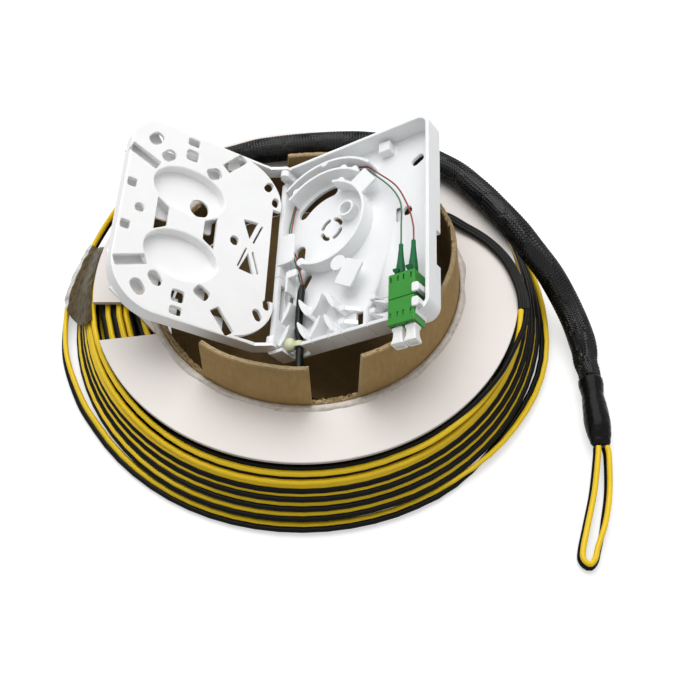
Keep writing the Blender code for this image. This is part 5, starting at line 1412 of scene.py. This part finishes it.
class OUTLET_OT_tray(bpy.types.Operator):
    """Mould the hinged splice tray"""
    bl_idname = "outlet.tray"
    bl_label = "Splice tray"

    def execute(self, context):
        look = context.scene.outlet_look
        half = look.height / 2 - look.wall - GAP
        body = combine(self.plate(half, look.easing), self.raised(half, look.easing), 'UNION')
        body = combine(body, self.openings(), 'DIFFERENCE')
        made = moulded("tray_plastic", look.tray, 0.40, 80.0, 0.015, 3000.0, 0.06)
        publish("tray_moulding", placed(body, TRAY), [made], ["splice_tray"], "tray", 34.0, True)
        return {'FINISHED'}

    def plate(self, half, e):
        """The tray's floor, with a bowed fin towards the hinge at each end."""
        at = from_hinge
        edge = half - TRAY_RIM / 2
        right = TRAY_FAR - TRAY_RIM / 2
        shape = arc(right - 0.0225, 0.0225 - edge, 0.0225, 270, 360, 16)
        shape += arc(right - 0.0140, edge - 0.0140, 0.0140, 0, 90, 16)
        bend = ((0.0240, edge), (0.0196, 0.0484), (0.0140, 0.0460), (0.0085, 0.0416), (0.0045, 0.0360),
                (0.0026, 0.0300))
        bow = smooth([(at(a), b, 0.0) for a, b in bend], 0.0018)
        fin = [(p.x, p.y) for p in bow] + [(at(0.0029), 0.0256), (at(0.0070), 0.0255)]
        return prism(shape + fin + [(x, -y) for x, y in fin[::-1]], TRAY_BASE, PLATE_TOP, "Z", 0.0, e)

    def raised(self, half, e):
        """The rim, the hinge arms with their pins, the recesses' walls and the keepers inside the rim."""
        at = from_hinge
        base, back, inset = TRAY_BASE, TRAY_BACK, TRAY_RIM
        outer = rounded(at(0.010), -half, TRAY_FAR, half, (0.0, 0.0235, 0.0150, 0.0), 16)
        inner = rounded(at(0.004), -half + inset, TRAY_FAR - inset, half - inset,
                        (0.0, 0.0220, 0.0135, 0.0), 16)
        rim = prism(outer, base, back, "Z", e * 0.8, 0.0007)
        adds = [combine(rim, [prism(inner, base - 0.002, back + 0.002)], 'DIFFERENCE')]
        for side in (-1, 1):
            shape = arc(0.0, 0.0, 0.0026, 180, 330, 16)
            shape += [(0.0070, base + 0.0002), (0.0100, base + 0.0002), (0.0100, back - 0.0003),
                      (0.0050, back - 0.0003), (-0.0026, 0.0030)]
            y0 = half - inset if side > 0 else -half
            adds.append(prism(shape, y0 + 0.00002, y0 + inset - 0.00002, "Y"))
            pin = (half - inset - 0.0028, half - inset + 0.0004)
            if side < 0:
                pin = (-half + inset - 0.0004, -half + inset + 0.0028)
            adds.append(prism(circle(0.0, 0.0, 0.0014, 24), pin[0], pin[1], "Y"))
        for side in (-1, 1):
            wall = oval(at(RECESS_U), side * RECESS_SPREAD, RECESS_LONG + 0.0013, RECESS_WIDE + 0.0013, 72)
            adds.append(prism(wall, base + 0.0004, base + 0.0062, "Z", e))
        # Keepers at both ends: place, size, turn, and how much lower the inner ones lie.
        for u, y, run, across, angle, drop in (
                (0.0694, 0.0400, 0.0150, 0.0095, 56, 0.0), (0.0498, 0.0424, 0.0080, 0.0072, 90, 0.0),
                (0.0765, 0.0120, 0.0070, 0.0070, 0, 0.0), (0.0272, 0.0452, 0.0090, 0.0060, 90, 0.0),
                (0.0612, 0.0330, 0.0095, 0.0085, 0, 0.0001), (0.0384, 0.0332, 0.0080, 0.0070, 0, 0.0001)):
            for side in (-1, 1):
                tab = turned_box(at(u), side * y + 0.0020, run, across, side * angle)
                adds.append(prism(tab, back - 0.0016 - drop, back - 0.0004 - drop, "Z", 0.0, e * 0.6))
        for u, y, run, across, angle in (
                (0.0716, 0.0318, 0.0180, 0.0095, 22), (0.0716, -0.0245, 0.0180, 0.0095, -22),
                (0.0740, 0.0042, 0.0118, 0.0042, 0), (0.0597, 0.0070, 0.0060, 0.0120, 0),
                (0.0372, 0.0068, 0.0040, 0.0100, 0)):
            tab = turned_box(at(u), y, run, across, angle, 0.0012)
            adds.append(prism(tab, back - 0.0018, back - 0.0007, "Z", 0.0, e * 0.6))
        return adds

    def openings(self):
        """The two recesses, every hole and slot in the floor, and the finger hole."""
        at = from_hinge
        below = TRAY_BASE - 0.001
        cuts = []
        holes = [slot(at(0.0718), -0.0006, 0.0050, 0.0044, 90), slot(at(0.0252), 0.0004, 0.0050, 0.0042, 90)]

        def window(u0, u1, y, down, up, radius, shift=0.0):
            return oblong(at(u0) + shift, y - down, at(u1) + shift, y + up, radius)

        for side in (-1, 1):
            ring = oval(at(RECESS_U), side * RECESS_SPREAD, RECESS_LONG, RECESS_WIDE, 72)
            cuts.append(prism(ring, below, TRAY_BASE + 0.0050))
            cuts.append(prism(drawn_in(ring, -0.0004), below, TRAY_BASE + 0.0003, "Z", 0.0003))
            shift = 0.0011 * side
            triangle = [(at(0.0216), side * 0.0138), (at(0.0140), side * 0.0146), (at(0.0176), side * 0.0038)]
            holes += [slot(at(0.0681) + shift, side * 0.0400, 0.0082, 0.0058, side * 128),
                      slot(at(0.0610) + shift, side * 0.0332, 0.0078, 0.0054, side * 132),
                      window(0.0467, 0.0528, side * 0.0383, 0.0030, 0.0030, 0.0014, shift),
                      window(0.0469, 0.0528, side * 0.0459, 0.0019, 0.0022, 0.0012, shift),
                      turned_box(at(0.0280) + shift, side * 0.0436, 0.0134, 0.0050, side * -50, 0.0006),
                      turned_box(at(0.0384) + shift * 0.5, side * 0.0328, 0.0074, 0.0058, side * -30, 0.0018),
                      slot(at(0.0102), side * 0.0362 + 0.0014, 0.0062, 0.0038, side * -60),
                      slot(at(0.0060), side * 0.0290 + 0.0010, 0.0054, 0.0036, side * -80),
                      window(0.0748, 0.0792, side * 0.0114, 0.0022, 0.0022, 0.001),
                      turned_box(at(0.0727) + shift * 0.5, side * 0.0281, 0.0150, 0.0050, side * 22, 0.0006),
                      corners(triangle, 0.0004),
                      turned_box(at(0.0136), side * 0.0080, 0.0116, 0.0010, side * 109, 0.0002)]
        holes.append(turned_box(at(0.0205), -0.0070, 0.0116, 0.0009, 107, 0.0002))
        for tip, root in ((0.0642, 0.0582), (0.0347, 0.0407)):
            funnel = [(at(tip), 0.0087), (at(tip), -0.0087), (at(root), -0.0049), (at(root), 0.0049)]
            holes.append(corners(funnel, 0.0004))
        for hole in holes:
            cuts.append(prism(hole, below, PLATE_TOP + 0.0004))
            cuts.append(prism(drawn_in(hole, -0.00022), below, TRAY_BASE + 0.00022))
        cuts.append(prism(circle(at(0.0424), 0.0141, 0.0048, 36), below, TRAY_BACK + 0.001))
        return cuts


class OUTLET_OT_adapter(bpy.types.Operator):
    """Make the duplex adapter, its connectors, boots and dust plugs"""
    bl_idname = "outlet.adapter"
    bl_label = "Adapter and plugs"

    # Share of the boot's length, and its radius there
    BOOT = ((0.0, 0.0019), (0.012, 0.0021), (0.10, 0.00212), (0.15, 0.0021), (0.22, 0.00202), (0.30, 0.0019),
            (0.38, 0.00174), (0.46, 0.00158), (0.54, 0.00143), (0.62, 0.00130), (0.70, 0.0012), (0.78, 0.00108),
            (0.86, 0.0010), (0.93, 0.00098), (0.985, 0.00098), (0.995, 0.00092), (1.0, 0.00080))
    # Place along the plug, half its width and half its height there
    PLUG_STEM = ((0.0082, 0.0012, 0.0012), (0.0081, 0.0015, 0.0015), (0.0078, 0.0019, 0.0019),
                 (0.0074, 0.00205, 0.00205), (-0.0001, 0.00205, 0.00205))
    PLUG_GRIP = ((-0.0003, 0.0024, 0.0024), (-0.0005, 0.0026, 0.0026), (-0.0014, 0.0026, 0.0026),
                 (-0.0017, 0.0025, 0.0025), (-0.0022, 0.00225, 0.0022), (-0.0030, 0.0022, 0.00215),
                 (-0.0046, 0.0023, 0.0022), (-0.0058, 0.00245, 0.00235), (-0.0070, 0.0028, 0.0027),
                 (-0.0077, 0.0029, 0.0028), (-0.0080, 0.00285, 0.00275), (-0.0082, 0.0026, 0.0025))
    # Place behind the adapter, half width, foot and top of the connector's lever
    LEVER = ((-0.0004, 0.0008, 0.0021, 0.0031), (0.0012, 0.0009, 0.0025, 0.0036),
             (0.0022, 0.0015, 0.0030, 0.0041), (0.0030, 0.0016, 0.0032, 0.0042),
             (0.0032, 0.0015, 0.0033, 0.0041))
    WEB = 0.0028

    def execute(self, context):
        look = context.scene.adapter_look
        green = moulded("adapter_plastic", look.green, 0.38, 220.0, 0.05, 2600.0, 0.08, 0.00008, 0.3)
        dark = moulded("boot_rubber", look.dark, 0.50, 260.0, 0.08, 2000.0, 0.12, 0.00008, 0.2)
        body_green = moulded("connector_plastic", look.dark, 0.36, 260.0, 0.06, 2600.0, 0.05, 0.00008, 0.2)
        white = moulded("plug_plastic", look.plug, 0.34, 150.0, 0.03)
        ceramic = moulded("ferrule_ceramic", (0.82, 0.81, 0.78), 0.16, 200.0, 0.02)
        for name in ("alignment_sleeve_1", "alignment_sleeve_2", "ferrule_1", "ferrule_2"):
            repaint(name, ceramic)
        middle = (ADAPTER_START + ADAPTER_END) / 2
        self.shells(look, middle, green)
        for i, port in enumerate(PORTS):
            number = str(i + 1)
            body = self.connector(port, middle + self.WEB + 2 * GAP)
            publish("connector_body_" + number, placed(body, OUTLET), [body_green], ["connector_" + number],
                    sharp_deg=34.0, flat_faces=True)
            rows = [(BOOT_START + (BOOT_END - BOOT_START) * part, size) for part, size in self.BOOT]
            boot = slices(rows, lambda size: circle(port, PORT_N, size, 28))
            publish("strain_boot_" + number, placed(boot, OUTLET), [dark], ["boot_" + number],
                    sharp_deg=50.0)
            place = OUTLET @ Matrix.Translation((port, ADAPTER_START, PORT_N))
            publish("port_plug_" + number, placed(self.plug(), place), [white], ["dust_plug_" + number],
                    "plug_" + number, 40.0, True)
        return {'FINISHED'}

    def shells(self, look, middle, green):
        """The two halves of the adapter, with their ports and the slits in their tops."""
        left = ADAPTER_U - look.width / 2
        right = ADAPTER_U + look.width / 2
        high = ADAPTER_LIFT + look.height
        shape = rounded(left, ADAPTER_LIFT, right, high, (0.0005,) * 4, 4)
        before = middle - GAP / 2
        behind = middle + GAP / 2
        halves = (("adapter_front", ADAPTER_START, before, ADAPTER_START - 0.001, before - self.WEB),
                  ("adapter_rear", behind, ADAPTER_END, behind + self.WEB, ADAPTER_END + 0.001))
        for name, near, end, hole_near, hole_far in halves:
            body = prism(shape, near, end, "Y", 0.00022, 0.00022)
            cuts = []
            for port in PORTS:
                cuts.append(box(port - 0.00245, port + 0.00245, hole_near, hole_far,
                                PORT_N - 0.0025, PORT_N + 0.0025))
                cuts.append(box(port - 0.0011, port + 0.0011, hole_near, hole_far, PORT_N, PORT_N + 0.0037))
                cuts.append(prism(circle(port, PORT_N, 0.0014, 20), near - 0.001, end + 0.001, "Y"))
            y = near + 0.0044 if name == "adapter_front" else end - 0.0026
            for part in (0.106, 0.375, 0.587, 0.864):
                x = left + look.width * part
                cuts.append(box(x - 0.00034, x + 0.00034, y - 0.0013, y + 0.0013, high - 0.0014, high + 0.001))
            body = combine(body, cuts, 'DIFFERENCE')
            publish(name + "_shell", placed(body, OUTLET), [green], [name],
                    sharp_deg=34.0, flat_faces=True)

    def connector(self, port, front):
        """The connector's body in the rear port, with its key and its lever."""
        shape = rounded(port - 0.00215, PORT_N - 0.0022, port + 0.00215, PORT_N + 0.0022, (0.0004,) * 4, 4)
        body = prism(shape, front, BOOT_START - GAP, "Y", 0.0002, 0.0002)
        key = box(port - 0.0008, port + 0.0008, front + 0.0015, ADAPTER_END + 0.0004, PORT_N, PORT_N + 0.0032)
        rows = [(ADAPTER_END + behind, wide, foot, top) for behind, wide, foot, top in self.LEVER]

        def section(wide, foot, top):
            return oblong(port - wide, PORT_N + foot, port + wide, PORT_N + top, 0.0002)

        return combine(body, [key, slices(rows, section)], 'UNION')

    def plug(self):
        """Dust plug: a stem that goes into the port and a grip with a dished end."""
        stem = slices(self.PLUG_STEM, lambda wide, tall: rounded(-wide, -tall, wide, tall, (0.0005,) * 4, 4))
        grip = slices(self.PLUG_GRIP, lambda wide, tall: rounded(-wide, -tall, wide, tall, (0.0007,) * 4, 5))
        dish = prism(rounded(-0.0019, -0.0018, 0.0019, 0.0018, (0.0006,) * 4, 5), -0.0090, -0.0074, "Y")
        return combine(combine(stem, [grip], 'UNION'), [dish], 'DIFFERENCE')


class OUTLET_OT_fibres(bpy.types.Operator):
    """Lay the inlet sleeve, its tie and the two buffered fibres"""
    bl_idname = "outlet.fibres"
    bl_label = "Inlet and fibres"

    def execute(self, context):
        look = context.scene.outlet_look
        n = INLET_N
        route = [(0.0139, -0.0085), (0.0137, 0.0), (0.0134, 0.0060), (0.0122, 0.0120), (0.0120, 0.0190),
                 (0.0120, 0.0260), (0.0122, 0.0320), (0.0124, 0.0362)]
        points = [OUTLET @ p for p in smooth([(x, y, n) for x, y in route], 0.0008)]
        scales = []
        for i, point in enumerate(points):
            part = i / (len(points) - 1)
            scales.append((1.0 - 0.34 * ease(part, 0.93, 1.0)) * (1.0 + 0.02 * noise.noise(point * 260.0)))
        mesh = swept(points, None, circle(0.0, 0.0, 0.0018, 28), None, scales)
        made = moulded("inlet_rubber", (0.006, 0.006, 0.0065), 0.34, 320.0, 0.25, 1100.0, 0.14, 0.00015, 0.2)
        publish("inlet_tube", mesh, [made], ["inlet_sleeve"], sharp_deg=60.0)

        # The tie's band round the tube, and the bead of its head.
        at = 0.0028
        centre = 0.0136
        inner = 0.0021
        band = prism(circle(centre, n, inner + 0.0009, 48), at, at + 0.0026, "Y", 0.0002, 0.0002)
        last = 12
        rings = []
        for i in range(last + 1):
            turn = math.radians(-80.0 + 160.0 * i / last)
            wide = 0.0027 * math.cos(turn)
            rings.append([(a, at + 0.0016 + 0.0034 * math.sin(turn), b)
                          for a, b in circle(centre - inner - 0.0017, n + 0.0022, wide, 28)])
        band = combine(band, [lofted(rings)], 'UNION')
        band = combine(band, [prism(circle(centre, n, inner, 48), at - 0.004, at + 0.008, "Y")], 'DIFFERENCE')
        nylon = moulded("tie_nylon", look.tie, 0.40, 300.0, 0.05)
        publish("tie_band", placed(band, OUTLET), [nylon], ["cable_tie"],
                sharp_deg=36.0, flat_faces=True)

        u, v = SPOOL
        lane = (MID_ARC + OUTER_ARC - ARC_WALL) / 2
        begin = 0.0368
        rise = 0.0058
        lift = PORT_N - rise
        # Each fibre keeps to its side of the lane by a shift, and the red one turns to its port later by a lag.
        for name, tint, shift, port, lag in (("fibre_green", look.green, -0.0008, PORTS[0], 0.0),
                                             ("fibre_red", look.red, 0.0008, PORTS[1], 0.0030)):
            route = [(0.0124 + shift * 0.6, begin, n), (0.0112 + shift * 0.7, begin + 0.0035, n),
                     (0.0078 + shift * 0.8, begin + 0.0147, 0.0050),
                     (0.0053 + shift * 0.8, begin + 0.0217, 0.0052),
                     (0.0031 + shift * 0.8, begin + 0.0326, 0.0050),
                     (0.0031 + shift * 0.7, begin + 0.0407, 0.0042), (0.0034 + shift * 0.5, v + 0.0196, 0.0032)]
            for angle in (130, 116, 102, 88, 74, 60, 49):
                a = math.radians(angle)
                radius = lane - shift * (1.0 - 2.0 * ease(-angle, -120, -80)) + 0.0008 * ease(-angle, -74, -52)
                above = (abs(shift) + shift) * 0.6 * ease(wave((angle - 60) * 2.2), 0.2, 0.8)
                route.append((u + radius * math.cos(a), v + radius * math.sin(a),
                              0.0026 + 0.0028 * ease(-angle, -72, -48) + above))
            route += [(u + 0.0274 + shift * 0.7, v + 0.0189 + shift * 0.7, 0.0062),
                      (port - 0.0069 - lag * 1.2, v + 0.0070, rise + lift * 0.35),
                      (port - 0.0010 - lag * 0.8, v - 0.0050 - lag, rise + lift * 0.75),
                      (port - 0.0002 - lag * 0.1, BOOT_END + 0.009, PORT_N - 0.0002),
                      (port, BOOT_END + 0.004, PORT_N), (port, BOOT_END + GAP, PORT_N)]
            points = [OUTLET @ p for p in smooth(route, 0.0011)]
            mesh = swept(points, None, circle(0.0, 0.0, 0.00038, 12))
            made = jacket(name + "_jacket", tint, 0.36, 0.4)
            publish(name + "_buffer", mesh, [made], [name], sharp_deg=70.0)
        return {'FINISHED'}


STEPS = (OUTLET_OT_stage, OUTLET_OT_cable, OUTLET_OT_sleeve, OUTLET_OT_reel, OUTLET_OT_tape, OUTLET_OT_base,
         OUTLET_OT_tray, OUTLET_OT_adapter, OUTLET_OT_fibres)


class OUTLET_PT_panel(bpy.types.Panel):
    """Lists the sizes, the colours and the steps that build the outlet on its reel"""
    bl_idname = "OUTLET_PT_panel"
    bl_label = "Fibre outlet on a reel"
    bl_space_type = 'VIEW_3D'
    bl_region_type = 'UI'
    bl_category = "Outlet"

    def draw(self, context):
        for name, group in SETTINGS:
            part = self.layout.box()
            for key in group.__annotations__:
                part.prop(getattr(context.scene, name), key)
        for step in STEPS:
            self.layout.operator(step.bl_idname)


def register():
    for name, group in SETTINGS:
        bpy.utils.register_class(group)
        setattr(bpy.types.Scene, name, PointerProperty(type=group))
    for step in STEPS:
        bpy.utils.register_class(step)
    bpy.utils.register_class(OUTLET_PT_panel)


def unregister():
    bpy.utils.unregister_class(OUTLET_PT_panel)
    for step in reversed(STEPS):
        bpy.utils.unregister_class(step)
    for name, group in reversed(SETTINGS):
        delattr(bpy.types.Scene, name)
        bpy.utils.unregister_class(group)


def main():
    register()
    bpy.ops.outlet.stage()
    bpy.ops.outlet.cable()
    bpy.ops.outlet.sleeve()
    bpy.ops.outlet.reel()
    bpy.ops.outlet.tape()
    bpy.ops.outlet.base()
    bpy.ops.outlet.tray()
    bpy.ops.outlet.adapter()
    bpy.ops.outlet.fibres()


if __name__ == "__main__":
    main()
